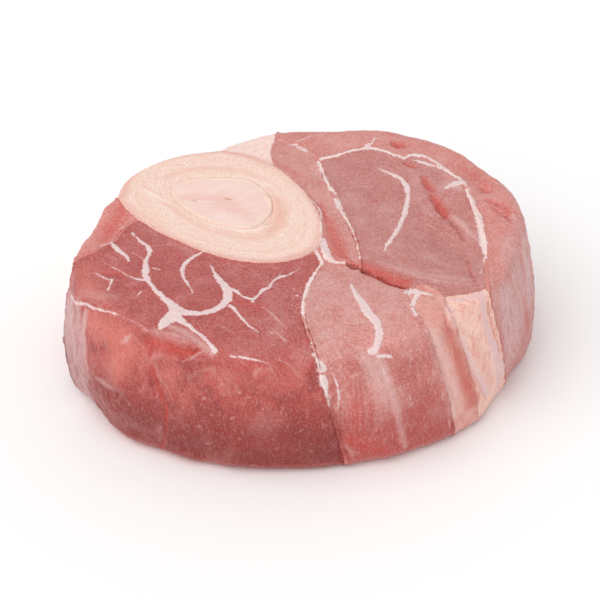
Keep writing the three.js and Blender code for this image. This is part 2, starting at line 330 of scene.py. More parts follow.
# %% [markdown]
# ## Traced lines
# Veins, creases and patches were traced in the photograph. Each is a named row: how strong it is, and its
# path as pixels with a width in millimetres. Its kind tells what it paints and how far it rises. Later the
# path is dropped on the solids along the camera's rays, so it is a line on the meat from every side.

# %% Kinds of marks
# kind: the mask it paints, the softness of its edge and how far it rises or sinks, in millimetres
KINDS = {
    "vein": ("fat", 0.3, 0.16),
    "thread": ("fat", 0.34, 0.03),
    "hair": ("pale", 0.3, 0.0),
    # crease and gully sink and paint red and deep red: painted shade in the crease
    "crease": ("red", 0.5, -0.5),
    "gully": ("deep", 0.7, -1.0),
    # line paints red without relief: painted shade under the roll and at the crease's end
    "line": ("red", 0.35, 0.0),
    "bulge": ("", 1.4, 0.7),
    # fold and bowl sink and paint red: painted shade in the fold or hollow
    "fold": ("red", 1.0, -0.9),
    "bowl": ("red", 1.6, -1.5),
    # ridge and film paint pale: partly painted highlights on raised crests, lips and flaps, partly films
    # of tissue
    "ridge": ("pale", 0.8, 0.5),
    "film": ("pale", 0.7, 0.12),
    "blush": ("red", 2.2, 0.0),
    # glow paints warm orange-pink, and painted light on the left and front flank
    "glow": ("warm", 3.5, 0.0),
    "shade": ("deep", 3.5, 0.0),
    "haze": ("pale", 2.0, 0.0),
    "skin": ("silver", 1.6, 0.0),
    # crumbs paint white flecks: crumbs of fat and painted glints of the moist film
    "crumbs": ("flecks", 2.5, 0.0),
    "dip": ("", 5.0, -1.2),
    "swell": ("", 3.5, 0.9),
    "tan": ("warm", 1.5, -0.08),
    # streak paints white saw streaks, and a painted highlight along the marrow's front edge
    "streak": ("fat", 0.4, 0.06),
    # rim line paints dark lines and vessels of the bone, and painted shadow along the marrow's back edge
    "rim line": ("deep", 0.3, -0.2),
    # pink paints the pink of marrow and bone, and painted shade along the bone's front rim
    "pink": ("red", 1.6, 0.0),
}

# %% A list of marks
TRACED = []


def trace(kind, rows):
    """Adds marks of one kind; each row has a name, a strength and its path."""
    TRACED.extend((name, kind, strength, path) for name, strength, path in rows)
    print(f"{kind}: {len(rows)} marks")


# %% [markdown]
# ## Marbling of the large muscle
# Fat between the bundles of fibres shows as branching white veins, with finer threads and hairs of
# tissue. A vein stands a little proud, because fat doesn't shrink as lean meat does when it is cut. They
# could be modelled as tubes, but painted relief lies in the meat and follows its surface.

# %% Veins of the large muscle
trace("vein", [
    ("main vein", 1, [(128, 229, .3), (134, 235, .5), (140, 241, .6), (148, 247, .9), (150, 250, 1.1),
        (149, 255, .9), (145, 263, .9), (146, 268, 1.5), (145, 275, 1.7), (149, 282, 1.1),
        (156, 291, 1.1), (167, 301, 1.5), (173, 306, 2.2), (176, 310, 2.9)]),
    ("vein's knot", 1, [(178, 311, 3), (174, 316, 3.9), (168, 320, 3.2), (163, 324, 2), (160, 329, .8)]),
    ("right arm", 1, [(179, 311, 2.8), (188, 313, 1.8), (199, 314, 1.4), (212, 311, 1.5), (221, 307, 1.6),
        (227, 300, 2.1), (228, 294, 2.1), (227, 289, 2.1), (222, 283, 1.6), (216, 276, 1.1),
        (213, 269, .6), (210, 264, .3)]),
    ("knuckle of the arm", 1, [(227, 290, 1.8), (232, 290, 1.3), (237, 292, .8)]),
    ("vein to the bone tip", 1, [(236, 292, .7), (243, 297, .5), (249, 299, .6), (253, 300, .7),
        (259, 295, .6), (263, 290, 1.0), (269, 288, .6), (272, 283, .5), (276, 279, .7), (280, 277, .9),
        (289, 275, .4), (299, 269, .3)]),
    ("side knot", .9, [(252, 300, .6), (253, 302, .8)]),
    ("fork of that vein", .8, [(279, 277, .4), (281, 272, .3), (284, 269, .2)]),
    ("lower branch", 1, [(230, 306, .9), (234, 309, .8), (241, 318, .6), (249, 326, .4),
        (258, 332, .25)]),
    ("foot vein", 1, [(175, 316, 2.6), (183, 322, 1.4), (191, 328, .9), (199, 334, .7), (207, 341, .7),
        (212, 347, 1.0), (215, 351, 1.2)]),
    ("back arc", 1, [(205, 251, .4), (200, 254, .7), (195, 256, .9), (187, 262, 1), (183, 267, 1),
        (182, 271, .9), (184, 279, .8), (189, 286, .5), (193, 293, .3)]),
    ("short vein at the seam", 1, [(111, 244, .6), (115, 247, 1.1), (119, 251, 1.0), (126, 256, .7),
        (129, 261, .5)]),
    ("seam running left", .9, [(109, 244, .5), (104, 245, .5), (98, 247, .3)]),
    ("hook at the left", .9, [(96, 274, .25), (103, 277, .5), (109, 280, .5), (112, 280, .8),
        (110, 286, .5), (108, 290, .4)]),
    ("small comma", .9, [(141, 292, .6), (138, 295, .5), (136, 298, .3)]),
    ("white dot", .8, [(123, 235, .4), (124, 236, .4)]),
    ("dots in the middle", .8, [(271, 333, .4), (272, 333, .4)]),
    ("dot near the seam", .9, [(297, 296, .5), (298, 297, .5)]),
])

# %% Threads, hairs and films of the large muscle
trace("thread", [
    ("left twig", .9, [(145, 280, .8), (135, 279, .5), (129, 276, .4), (119, 270, .3), (105, 264, .2)]),
    ("upper twig", .8, [(132, 252, .25), (138, 256, .35), (143, 259, .3)]),
    ("tick beside the vein", .9, [(153, 268, .5), (160, 270, .3)]),
    ("two short hairs", .7, [(138, 313, .2), (142, 315, .25), (145, 319, .3), (138, 322, .2)]),
    ("long hair", .8, [(262, 307, .25), (271, 313, .4), (278, 320, .4), (286, 328, .2)]),
    ("its lower end", .8, [(276, 333, .3), (286, 341, .4)]),
    ("second hair", .8, [(218, 325, .25), (225, 328, .35), (234, 333, .25)]),
    ("dash at the front edge", .75, [(231, 356, .5), (240, 357, .6), (250, 359, .6), (260, 361, .5),
        (271, 364, .2)]),
    ("dash beside it", .8, [(279, 360, .4), (286, 363, .3)]),
    ("border of the left flank", .9, [(71, 296, .6), (75, 303, .8), (86, 304, .9), (92, 308, .6),
        (105, 311, .8), (111, 312, .5), (125, 317, .4), (139, 324, .35), (147, 331, .3)]),
    ("foot of the knot", .7, [(161, 328, .6), (155, 330, .3), (149, 332, .2)]),
])
trace("hair", [
    ("twig below it", .8, [(142, 281, .4), (134, 283, .3), (126, 285, .2)]),
    ("faint arc at the left", .8, [(109, 255, .3), (116, 260, .4), (117, 264, .3)]),
    ("hair below the bone", .8, [(151, 246, .3), (165, 245, .3), (183, 244, .3), (192, 247, .3),
        (199, 250, .2)]),
    ("arc above the dash", .7, [(263, 351, .3), (270, 346, .3), (280, 343, .2)]),
    ("line below the dashes", .7, [(288, 364, .3), (296, 372, .3), (304, 381, .2)]),
])
trace("film", [
    ("film beside the foot vein", .9, [(170, 326, 1.6), (180, 330, 2.2), (192, 338, 2), (202, 345, 1.8),
        (212, 352, 1.8)]),
])
trace("haze", [
    ("pale bulge below it", .95, [(156, 333, 1.6), (172, 335, 2), (186, 341, 1.6)]),
])

# %% Flecks on the large muscle's flank
FLANK_FLECKS = ((239, 393, .6), (204, 399, .7), (281, 420, .5), (301, 431, .6), (277, 449, .5),
                (208, 444, .6), (199, 426, .5), (248, 397, .4), (222, 384, .4), (263, 409, .4),
                (174, 418, .4), (185, 437, .4), (232, 418, .4), (311, 452, .6))
trace("hair", [("fleck on the flank", .9, [fleck, fleck]) for fleck in FLANK_FLECKS])

# %% [markdown]
# ## Seams and veins of the other muscles
# Where two muscles meet, tissue shows as a white line of uneven width. The CAD solids give each seam its
# place and depth; these marks make it white only as far as the photograph shows it.

# %% White seams and veins
trace("vein", [
    ("front seam", .95, [(322, 264, .8), (318, 269, .7), (312, 278, .8), (308, 286, .9), (305, 297, 1),
        (303, 307, .9), (303, 314, .7), (306, 324, .5), (308, 332, .3)]),
    ("front seam on the flank", 1, [(311, 343, .5), (313, 353, .7), (317, 360, 1), (322, 367, 2),
        (323, 376, 1.9), (325, 386, 1.3), (327, 395, .8), (329, 404, .9), (331, 410, .4)]),
    ("left seam", .8, [(136, 216, .5), (130, 220, .4), (125, 225, .45), (118, 231, .3), (114, 237, .4),
        (112, 242, .4)]),
    ("white edge of the bone tip", 1, [(312, 201, .4), (318, 207, .5), (321, 213, .6), (322, 225, .7),
        (323, 236, 1.1), (324, 246, 2)]),
    ("fork's left arm", 1, [(315, 250, .8), (319, 257, 1.0), (322, 263, .9)]),
    ("fork's right arm", 1, [(325, 250, 2.2), (328, 258, 2), (332, 262, 1.4), (337, 263, .9),
        (344, 263, .6)]),
    ("seam of the strip", .9, [(289, 145, .4), (295, 145, .9), (302, 149, 1), (308, 152, .7),
        (314, 156, .5)]),
    ("seam beside the round muscle", 1, [(318, 163, .9), (321, 169, 1), (325, 179, 1.1), (329, 186, 1),
        (335, 196, 1.5), (339, 208, 1.5), (344, 216, 1), (351, 228, .6), (356, 240, .5),
        (360, 259, .45)]),
    ("second strand", .9, [(326, 186, .5), (331, 198, .5), (338, 209, .5)]),
    ("spur of that seam", .9, [(328, 211, .35), (336, 212, .5)]),
    ("rim seam, back", 1, [(321, 160, 1.2), (328, 158, 1.3), (336, 156, 1.1), (351, 151, 1),
        (364, 149, 1.1), (374, 149, 1), (386, 152, 1), (396, 157, .8), (404, 159, .8)]),
    ("knot on the rim seam", 1, [(366, 147, 1.2), (368, 145, 1.3), (371, 144, .9)]),
    ("spur of the knot", .9, [(373, 142, .7), (374, 139, .6), (380, 138, .3)]),
    ("rim seam, right", 1, [(404, 159, .9), (410, 156, 1), (415, 155, 1.2), (424, 157, 1.2),
        (433, 161, 1), (440, 166, 1), (451, 174, 1.1), (461, 180, 1.2), (467, 188, 1.2), (468, 194, 1),
        (472, 201, 1.2), (475, 210, 1.4), (478, 217, 1.7), (481, 230, 1.6), (483, 240, 1.8),
        (485, 248, 1.6), (486, 256, .7), (484, 266, .4), (481, 273, .5)]),
    ("second strand of the rim seam", .9, [(413, 160, .5), (424, 163, .9), (436, 167, 1),
        (447, 172, .6)]),
    ("arc of the round muscle", 1, [(379, 169, .4), (386, 172, .7), (393, 175, .9), (401, 179, 1.1),
        (407, 187, 1.3), (408, 194, 1.3), (407, 203, 1.2), (405, 213, 1.1), (399, 227, 1.1),
        (391, 240, 1.1), (386, 247, .9), (385, 250, .5)]),
    ("end of the arc", .9, [(382, 248, .4), (386, 248, .5)]),
    ("fat strip of the front muscle", 1, [(351, 284, .4), (354, 292, 1.1), (361, 301, 1.7),
        (369, 314, 2.1), (376, 321, 2.0), (379, 329, 1.8), (379, 340, 1.8), (376, 347, 1.4),
        (372, 351, 1.8)]),
    ("hook of fat", 1, [(408, 293, 1.5), (412, 291, 1.4), (416, 291, 1.5), (421, 293, 1.0),
        (427, 294, .6), (434, 296, .4)]),
    ("barb of the hook", 1, [(417, 294, 1.6), (415, 299, 1.1), (412, 304, 1.1), (413, 310, 1.2),
        (416, 315, .9)]),
])

# %% Threads of the other muscles
trace("thread", [
    ("barb of the rim seam", .8, [(417, 154, .4), (419, 151, .4)]),
    ("thin line in the rim muscle", .9, [(296, 142, .5), (303, 139, .4), (311, 136, .4)]),
    ("tail of the arc", .7, [(387, 252, .3), (395, 258, .35), (402, 263, .25)]),
    ("two hairs in the dish", .7, [(354, 185, .3), (363, 187, .45), (371, 186, .2)]),
    ("third hair in the dish", .7, [(375, 206, .35), (382, 208, .4), (388, 210, .25)]),
    ("tick across the strip", 1, [(378, 356, .8), (385, 356, .9), (391, 357, .8)]),
    ("whisker at its foot", .8, [(350, 376, .3), (356, 375, .35), (361, 372, .3)]),
    ("hair down the flank", .9, [(331, 368, .3), (337, 384, .5), (339, 398, .6), (337, 415, .3)]),
    ("hair beside the tendon", .9, [(444, 384, .3), (447, 402, .6), (449, 418, .35), (450, 430, .2)]),
])

# %% Hairs and films of the other muscles
trace("hair", [
    ("hair below that seam", .8, [(330, 414, .25), (332, 422, .3), (334, 430, .2)]),
    ("fork in the rim muscle", .8, [(329, 144, .3), (333, 140, .3), (337, 138, .2)]),
    ("line beside it", .8, [(341, 138, .3), (350, 140, .3), (358, 142, .2)]),
    ("flecks in the dish", .8, [(428, 212, .4), (432, 216, .6), (436, 219, .4)]),
    ("arc in the front muscle", .7, [(327, 331, .3), (343, 325, .3), (356, 322, .3), (366, 321, .2)]),
    ("line below that arc", .7, [(351, 337, .3), (346, 342, .3), (341, 347, .2)]),
    ("sheath over the fat band", 1, [(440, 298, .5), (452, 300, .7), (464, 299, .7), (474, 296, .9)]),
])
trace("film", [
    ("white of the fat band's top", 1, [(447, 304, 1), (448, 312, 1.6), (451, 318, 1)]),
    ("white knob of the fat band", 1, [(474, 297, 1.6), (480, 295, 2), (484, 299, 1.4)]),
])

# %% Fibres and swirls of the front muscle
trace("hair", [("fibre down the flank", .7, [(u, 383, .2), (u + 1, 400, .35), (u + 3, 430, .2)])
               for u in (341, 345, 349, 353, 358, 364, 374, 379)])


def arc(u, v, radius, start, end, wide):
    """Pixels along a part of a circle."""
    turns = [math.radians(start + (end - start) * k / 6) for k in range(7)]
    return [(u + radius * math.cos(t), v - radius * math.sin(t), wide) for t in turns]


trace("thread", [("swirl in the front muscle", strength, arc(404, 368, radius, 130, -30, .28))
                 for radius, strength in ((9, .45), (14, .5), (19, .55), (24, .4))])

# %% [markdown]
# ## Creases, folds and lobes
# The knife and the muscles' own pull leave creases, torn lobes and folds. Each mark sinks or raises the
# skin by its kind's height, so that they are shapes and not only painted shade. Their red and deep red
# are painted shade in the creases, folds and hollows, and the pale of ridges and lips is partly a
# painted highlight.

# %% Creases and lines
trace("crease", [
    ("faint seam at the left", .6, [(98, 247, .3), (91, 251, .4), (83, 254, .4)]),
    # painted shadow below the bone's raised rim
    ("crease along the bone", .9, [(117, 198, .4), (127, 207, .4), (137, 215, .5), (152, 225, .5),
        (168, 236, .6), (185, 245, .6), (203, 252, .6), (218, 257, .6), (235, 261, .6), (252, 263, .7),
        (268, 264, .7), (285, 262, .5), (298, 258, .4), (310, 251, .3)]),
    ("fold's end over the fat", .6, [(424, 289, .4), (440, 293, .4), (455, 294, .4), (468, 292, .3)]),
    ("front left crease", 1, [(146, 336, .4), (150, 349, .5), (152, 361, .7), (155, 376, .8),
        (160, 393, .8), (165, 410, .7), (166, 426, .5), (165, 438, .5), (161, 450, 1)]),
    ("deep side of the hollow", .5, [(160, 341, .7), (170, 345, .8), (182, 350, .8), (192, 351, .6)]),
    ("wrinkle in the dish's corner", .9, [(468, 260, .5), (469, 268, .6), (473, 277, .4)]),
    ("wrinkle in the dish", .5, [(368, 202, .5), (376, 201, .9), (386, 199, .5)]),
    ("wrinkles above it", .3, [(362, 172, .4), (374, 176, .4), (388, 183, .4)]),
    ("groove beside the band", .8, [(446, 300, .4), (446, 324, .6), (457, 336, .6), (467, 360, .7),
        (479, 385, .7), (487, 400, .5)]),
    ("groove right of the fat", .7, [(488, 303, .4), (491, 320, .5), (499, 350, .6), (505, 370, .5)]),
    ("line under the tendon's round end", .5, [(421, 324, .4), (432, 327, .5), (444, 326, .4)]),
])
trace("line", [
    ("its red end", 1, [(338, 250, .8), (346, 258, 1.2), (354, 264, 1.2), (362, 267, .8)]),
    ("front seam's red lip", 1, [(311, 337, .4), (313, 341, .5), (314, 346, .4)]),
])

# %% Deep creases and folds
trace("gully", [
    ("crease behind the bone tip", .55, [(296, 178, .2), (306, 189, .3), (315, 200, .4), (324, 212, .5),
        (326, 226, .7), (333, 240, .8), (340, 250, .4)]),
    ("crease before the round muscle", .7, [(362, 266, .4), (372, 271, .9), (383, 276, 1.4),
        (392, 280, 1.5), (401, 283, 1.2), (410, 286, .7), (424, 289, .4)]),
    ("furrow beside the front seam", .8, [(328, 398, .4), (332, 412, 1.2), (337, 428, 1.5),
        (341, 444, 1.5), (345, 459, 1.4)]),
    ("shadow in the fold", .8, [(493, 208, .3), (503, 214, .8), (512, 221, .5)]),
    ("deep middle of it", .6, [(436, 201, .8), (441, 209, 1.2), (446, 217, .8)]),
    ("dark foot of that fold", .8, [(451, 222, .5), (458, 230, .8), (464, 239, .7)]),
    ("groove left of the tendon", .6, [(417, 317, .3), (426, 333, .6), (436, 351, .7), (443, 368, .6),
        (451, 392, .5), (461, 420, .3)]),
])
trace("fold", [
    ("pit in the rim", 1, [(394, 143, 1.4), (399, 146, 2.2), (404, 146, 1.4)]),
    ("pit beside the rim seam", .9, [(406, 163, .8), (411, 165, 1), (415, 167, .6)]),
    ("folds of the rim", .9, [(487, 199, .6), (497, 203, 1), (505, 207, 1), (513, 212, .6)]),
    ("fold below them", .4, [(490, 226, .5), (500, 227, .6), (510, 225, .4)]),
    ("folds of the round muscle", 1, [(423, 177, 1), (427, 184, 1.8), (432, 190, 1)]),
    ("long fold of the round muscle", 1, [(433, 196, 1.8), (440, 206, 2.4), (447, 216, 1.6)]),
    ("small fold in the left muscle", .7, [(104, 274, .8), (114, 273, 1.4), (125, 276, 1)]),
])

# %% Hollows and lobes
trace("bowl", [
    ("hollow at the front edge", 1, [(150, 341, 2), (162, 343, 2.6), (174, 347, 3), (186, 351, 2.6),
        (197, 351, 1.4)]),
    ("dimple of the rim", .8, [(482, 186, 1.6), (486, 190, 1.8)]),
])
trace("dip", [
    ("bed of the dish", .8, [(440, 238, 5), (458, 248, 6), (466, 256, 4)]),
])
trace("bulge", [
    ("left lobe beside it", .7, [(138, 352, 1.6), (142, 366, 2), (148, 380, 2), (156, 398, 1.2)]),
    ("bulge over the hollow", 1, [(163, 332, .8), (172, 335, 1.2), (182, 339, 1.2), (193, 345, .8)]),
    ("lip under the hollow", .9, [(153, 359, 1.4), (162, 357, 1.4), (172, 357, 1.2), (183, 362, 1)]),
    ("tongue under the hollow", .8, [(194, 376, 2), (204, 374, 3), (212, 374, 2), (210, 386, 2)]),
    ("flap on the flank", .9, [(257, 374, 1), (264, 373, 1.4), (272, 372, 1.4), (277, 378, .8)]),
])
trace("swell", [
    ("lobe under the flap", .5, [(262, 382, 3), (270, 390, 3)]),
    ("lobe of the left flank", .8, [(108, 335, 6), (115, 360, 6), (120, 385, 5)]),
    ("round end of the tendon", .6, [(429, 309, 3), (432, 312, 3)]),
])

# %% Ridges and pale edges, partly painted highlights
trace("ridge", [
    # painted highlight on the rolled lip
    ("roll above the crease", .6, [(380, 262, 1.0), (396, 268, 1.6), (416, 275, 2), (438, 281, 2),
        (460, 284, 1.4), (474, 283, .8)]),
    ("pale ridge between them", .7, [(499, 207, .5), (506, 211, .7), (511, 214, .5)]),
    ("pale knob at the edge", 1, [(513, 215, 1.4), (515, 219, 1.4)]),
    ("pale tongue beside the fold", 1, [(450, 216, 1), (456, 219, 1.4), (462, 225, 1.8), (470, 233, 1.3),
        (481, 244, .6)]),
    ("line to the pale patch", .5, [(416, 194, .4), (430, 196, .5), (440, 196, .5), (446, 191, .6)]),
])
trace("film", [
    ("pale right lip of it", .55, [(153, 359, .9), (155, 366, 1.2), (159, 375, .8), (166, 386, .4)]),
    ("pale top of that lip", .6, [(151, 362, 1), (154, 357, 1.2), (160, 355, .8), (168, 356, .4)]),
    ("pale edge of the tongue", .5, [(188, 379, .4), (193, 374, .7), (201, 371, .5), (209, 368, .9),
        (214, 369, 1.1), (215, 376, .5)]),
    ("flap's pale knobs", .7, [(255, 374, .6), (257, 371, 1), (260, 370, .8)]),
    ("flap's second knob", .6, [(267, 369, .5), (271, 369, .8), (274, 371, .5)]),
    ("step before the flap", .5, [(224, 375, .3), (234, 384, .4), (239, 393, .5)]),
    ("pale nick at the left", 1, [(123, 342, .8), (126, 340, 1.4), (129, 336, .4)]),
])
trace("hair", [
    # painted highlight on the lip's edge
    ("white edge of the lip", 1, [(183, 361, .5), (191, 358, .6), (198, 353, .7), (205, 350, .6)]),
    ("white of the patch", .9, [(445, 190, .3), (452, 186, .6), (462, 186, .4)]),
    ("white above it", .9, [(447, 184, .3), (456, 182, .6), (465, 184, .4)]),
    ("white below it", .8, [(450, 194, .3), (458, 191, .5), (467, 192, .3)]),
])

# %% [markdown]
# ## Patches of colour
# Raw veal isn't one pink: it is redder where blood stays, paler where it is dry, and bluish white under
# silverskin. Broad soft marks paint this, which noise alone would put elsewhere. The red in folds and
# creases and the shade marks are painted shade, and the glow of the left and front flank is partly
# painted light.

# %% Red patches
trace("blush", [
    ("red beside the left seam", .9, [(123, 205, .8), (118, 218, .8), (111, 232, 1.4), (104, 241, 1)]),
    # painted shade in the front crease
    ("red in the front crease", 1, [(364, 265, 2.2), (376, 271, 3.2), (390, 277, 3.6), (406, 282, 2.6)]),
    ("red of the twisted strip", 1, [(318, 205, .8), (328, 222, 1.4), (336, 240, 2.2), (342, 252, 2)]),
    ("red slope of the rim", .6, [(456, 165, 1.6), (472, 174, 2.6), (486, 187, 2.4)]),
    ("red end of the rim", .9, [(500, 206, 1.4), (508, 214, 1.6)]),
    ("red beside the bone", .8, [(275, 162, .6), (290, 172, 1), (300, 176, .8)]),
    ("red of the small lobe", 1, [(329, 236, 1), (334, 247, 2), (341, 257, 2)]),
    ("red below the left seam", .5, [(104, 270, 1), (114, 272, 1.4), (124, 276, 1)]),
    ("red below the twig", .5, [(136, 289, 1), (150, 291, 1)]),
    ("red right of the arm", .7, [(234, 301, .6), (246, 304, 1), (262, 308, 1)]),
    ("red at the front edge", .5, [(222, 356, 1), (240, 362, 1.4), (262, 366, 1.4), (290, 352, 1.4)]),
    ("stripe on the right flank", .9, [(524, 300, .7), (525, 315, 1), (526, 325, .7)]),
    ("red spots on the right flank", .6, [(493, 326, .6), (500, 336, 1), (503, 348, .8)]),
    ("glow of the front muscle's foot", .7, [(350, 440, 2), (362, 446, 3), (380, 450, 2)]),
    ("red of the front muscle's left flank", .7, [(350, 385, 2), (354, 405, 3), (358, 425, 2)]),
])
trace("line", [
    # painted shadow under the roll
    ("red under the roll", 1, [(360, 263, .6), (372, 270, 1.2), (383, 275, 1.6), (394, 280, 1.6),
        (404, 284, 1)]),
])
trace("pink", [
    ("flesh beside the band", 1, [(447, 330, 1.6), (453, 346, 2.4), (461, 366, 3), (467, 384, 3.6),
        (473, 402, 4)]),
    ("foot of the fat band", .35, [(476, 345, 3), (485, 366, 5), (491, 384, 4)]),
])

# %% Warm patches, partly painted light, and patches of painted shade
trace("glow", [
    # the glows of the left and front flank are painted light where the light falls; the others are warm
    # tone
    ("glow of the front left flank", 1, [(96, 322, 5), (112, 332, 8), (128, 345, 7), (118, 370, 6)]),
    ("glow of the left top", .8, [(84, 270, 4), (90, 285, 4), (104, 302, 3)]),
    ("glow of the front edge", .5, [(200, 380, 3), (230, 378, 4), (262, 384, 5), (290, 376, 4)]),
    ("glow of the flank's left part", .5, [(170, 372, 4), (180, 395, 4)]),
    ("glow of the rim's edge", .75, [(450, 150, 2), (478, 165, 3), (496, 186, 3), (504, 200, 2)]),
    ("glow of the rim's right end", .7, [(498, 228, 2), (500, 245, 3), (494, 262, 2)]),
    ("glow of the front muscle", .7, [(352, 338, 3), (362, 335, 3), (395, 340, 3), (400, 325, 3)]),
    ("glow below the dish", .5, [(400, 262, 2), (440, 276, 2)]),
    ("round end's flesh", .65, [(428, 308, 5), (432, 314, 5)]),
])
trace("shade", [
    ("corner of the dish", .45, [(462, 250, 1), (468, 260, 1.8), (470, 270, 1.2)]),
    ("mauve side of the dish", .3, [(471, 208, 1), (476, 220, 1.4), (478, 232, 1)]),
    ("deep foot of the front flank", .75, [(222, 432, 5), (240, 440, 6), (270, 444, 6), (290, 452, 5)]),
    ("deep band beside the seam", .8, [(294, 400, 3), (308, 414, 4), (320, 430, 4)]),
    ("deep part of the front muscle", .35, [(405, 385, 4), (420, 405, 5), (428, 428, 3)]),
    ("dark edge of the silverskin", .5, [(67, 305, 1), (66, 340, 1), (74, 375, 1), (84, 395, 1)]),
])

# %% Pale patches
trace("haze", [
    ("pale left edge of the left muscle", .5, [(104, 212, 1), (92, 232, 1.4), (84, 248, 1)]),
    ("pale strip between the strands", .8, [(412, 158, 1), (426, 160, 1.6), (440, 168, 2),
        (454, 178, 2)]),
    ("pale low left of the large muscle", .6, [(84, 292, 2), (100, 295, 3), (114, 297, 2)]),
    ("haze beside the fat strip", .9, [(367, 358, 3.4), (372, 370, 4), (379, 384, 4), (384, 398, 3)]),
    ("pale middle of the round muscle", .25, [(350, 195, 3), (362, 225, 4), (378, 246, 3)]),
    ("pale crest of the front muscle", .5, [(372, 280, 2), (390, 292, 3), (398, 310, 2)]),
    ("pale patch of the rim seam", 1, [(444, 187, 2.4), (453, 184, 4), (461, 187, 3.6)]),
    # painted highlight on the roll
    ("pale roll of the round muscle", .9, [(402, 269, 1), (430, 275, 1.6), (462, 279, 1.4)]),
    ("pale corner by the fat band", .7, [(482, 262, 1), (486, 276, 2), (488, 290, 1)]),
    ("pale back of the rim", .5, [(320, 136, 3), (345, 146, 3), (375, 137, 3)]),
    ("pale end of the round muscle", .5, [(412, 172, 3), (418, 185, 3), (414, 200, 2)]),
    ("pale foot of the dish", .4, [(430, 258, 3), (455, 268, 2)]),
    ("pale right part of the large muscle", .3, [(270, 300, 4), (285, 322, 5), (268, 340, 4)]),
    ("pale part near the bone", .35, [(142, 228, 2), (165, 240, 3), (188, 250, 2)]),
    ("pale left foot of the flank", .3, [(100, 400, 4), (118, 420, 5), (140, 428, 4)]),
    ("pale band of the tendon", 1, [(430, 331, 2), (437, 347, 2.6), (445, 370, 2.8), (451, 392, 3),
        (456, 414, 3)]),
])

# %% Sheaths and strands on the flank
trace("film", [
    ("strand down the flank", 1, [(378, 358, 1.8), (383, 370, 2.6), (389, 386, 2.2), (396, 408, 1.6),
        (401, 430, 1.3), (405, 446, 1.6)]),
    ("pale flake at the left", .8, [(97, 378, .8), (104, 383, 1.6), (112, 388, 1.2)]),
    ("squiggle beside it", .7, [(120, 390, .4), (122, 396, .5), (119, 399, .4)]),
    ("ragged blob at the foot", .7, [(340, 440, 1), (346, 447, 2), (353, 454, 1.8)]),
    ("sheath left of the fat band", 1, [(449, 308, 2), (457, 330, 1), (467, 352, 1.2), (477, 374, 1.6),
        (487, 394, 2)]),
    ("sheath right of the fat band", 1, [(482, 303, 1.6), (486, 325, 1.8), (494, 350, 2.4),
        (500, 368, 2.8), (497, 385, 3)]),
    ("cream border of the silverskin", .9, [(86, 312, 2), (83, 335, 2.4), (84, 356, 2.4),
        (87, 376, 1.4)]),
])
trace("hair", [
    ("fan over the strand, left", .9, [(373, 353, .6), (368, 364, .5), (366, 378, .3)]),
    ("fan over the strand, middle", .9, [(376, 354, .8), (376, 368, .7), (378, 384, .4)]),
    ("fan over the strand, right", 1, [(380, 357, .8), (385, 370, .8), (390, 388, .5)]),
])
trace("thread", [
    ("white of the strand's top", .55, [(381, 364, .6), (385, 376, 1), (389, 388, .6)]),
    ("thin line on the silverskin", .7, [(519, 250, .3), (526, 262, .5), (528, 290, .4), (530, 324, .3)]),
])
trace("vein", [
    ("white of the rim seam's patch", .6, [(446, 188, 1.4), (454, 184, 2.4), (462, 183, 2)]),
])

# %% Lines across the rim
RIM_LINES = ((470, 190, 486, 174), (472, 198, 494, 199), (484, 214, 496, 218), (486, 232, 508, 228),
             (487, 246, 503, 244), (487, 254, 500, 262))
trace("hair", [("line across the rim", .7, [(u, v, .35), (far_u, far_v, .2)])
               for u, v, far_u, far_v in RIM_LINES])

# %% Silverskin, and crumbs of fat and painted glints
trace("skin", [
    ("sheen of the strand", .55, [(379, 362, 1), (384, 376, 1.6), (390, 392, 1.4), (397, 412, 1),
        (401, 432, 1)]),
    ("silverskin, left border", .9, [(77, 306, 3), (78, 330, 4), (79, 355, 4), (84, 378, 3)]),
    ("silverskin, left", 1, [(70, 306, 7), (68, 322, 12), (68, 345, 14), (76, 375, 12), (84, 392, 9),
        (92, 404, 6)]),
    ("silverskin, right", .9, [(505, 290, 5), (511, 318, 9), (513, 345, 8), (508, 366, 5)]),
    ("silverskin between", .55, [(508, 240, 5), (514, 262, 8), (520, 290, 9), (521, 325, 8)]),
    ("silverskin, upper right", .9, [(524, 240, 3), (528, 265, 5), (530, 295, 6)]),
    ("silverskin, back right", .8, [(519, 222, 1.4), (524, 236, 2.4)]),
])
trace("crumbs", [
    ("crumbs right of the arm", .9, [(262, 275, 4), (290, 290, 6), (296, 312, 5), (270, 320, 4)]),
    ("crumbs along the bone", .9, [(135, 222, 2), (160, 238, 2), (208, 258, 2), (228, 264, 2),
        (248, 264, 4), (262, 268, 2), (295, 262, 3)]),
    ("crumbs in the front muscle", .7, [(318, 285, 3), (325, 305, 3), (316, 325, 3)]),
    ("crumbs below it", .8, [(326, 338, 3), (345, 340, 3)]),
    ("crumbs in the strip", .8, [(278, 158, 1), (292, 175, 1.5), (338, 230, 1.5)]),
    ("crumbs in the small lobe", .9, [(337, 252, 1.4), (340, 256, 1.2)]),
    ("crumbs in the dish", .5, [(400, 245, 5), (440, 240, 5), (450, 262, 4)]),
])

# %% [markdown]
# ## Layers and lines of the bone and the marrow
# A sawn shank bone shows a warm layer inside its hard ring, white streaks from the saw, a thin line
# round the marrow and two small vessels in it. Along the marrow's back edge the line is painted shadow,
# and a white arc along its front edge is a painted highlight.

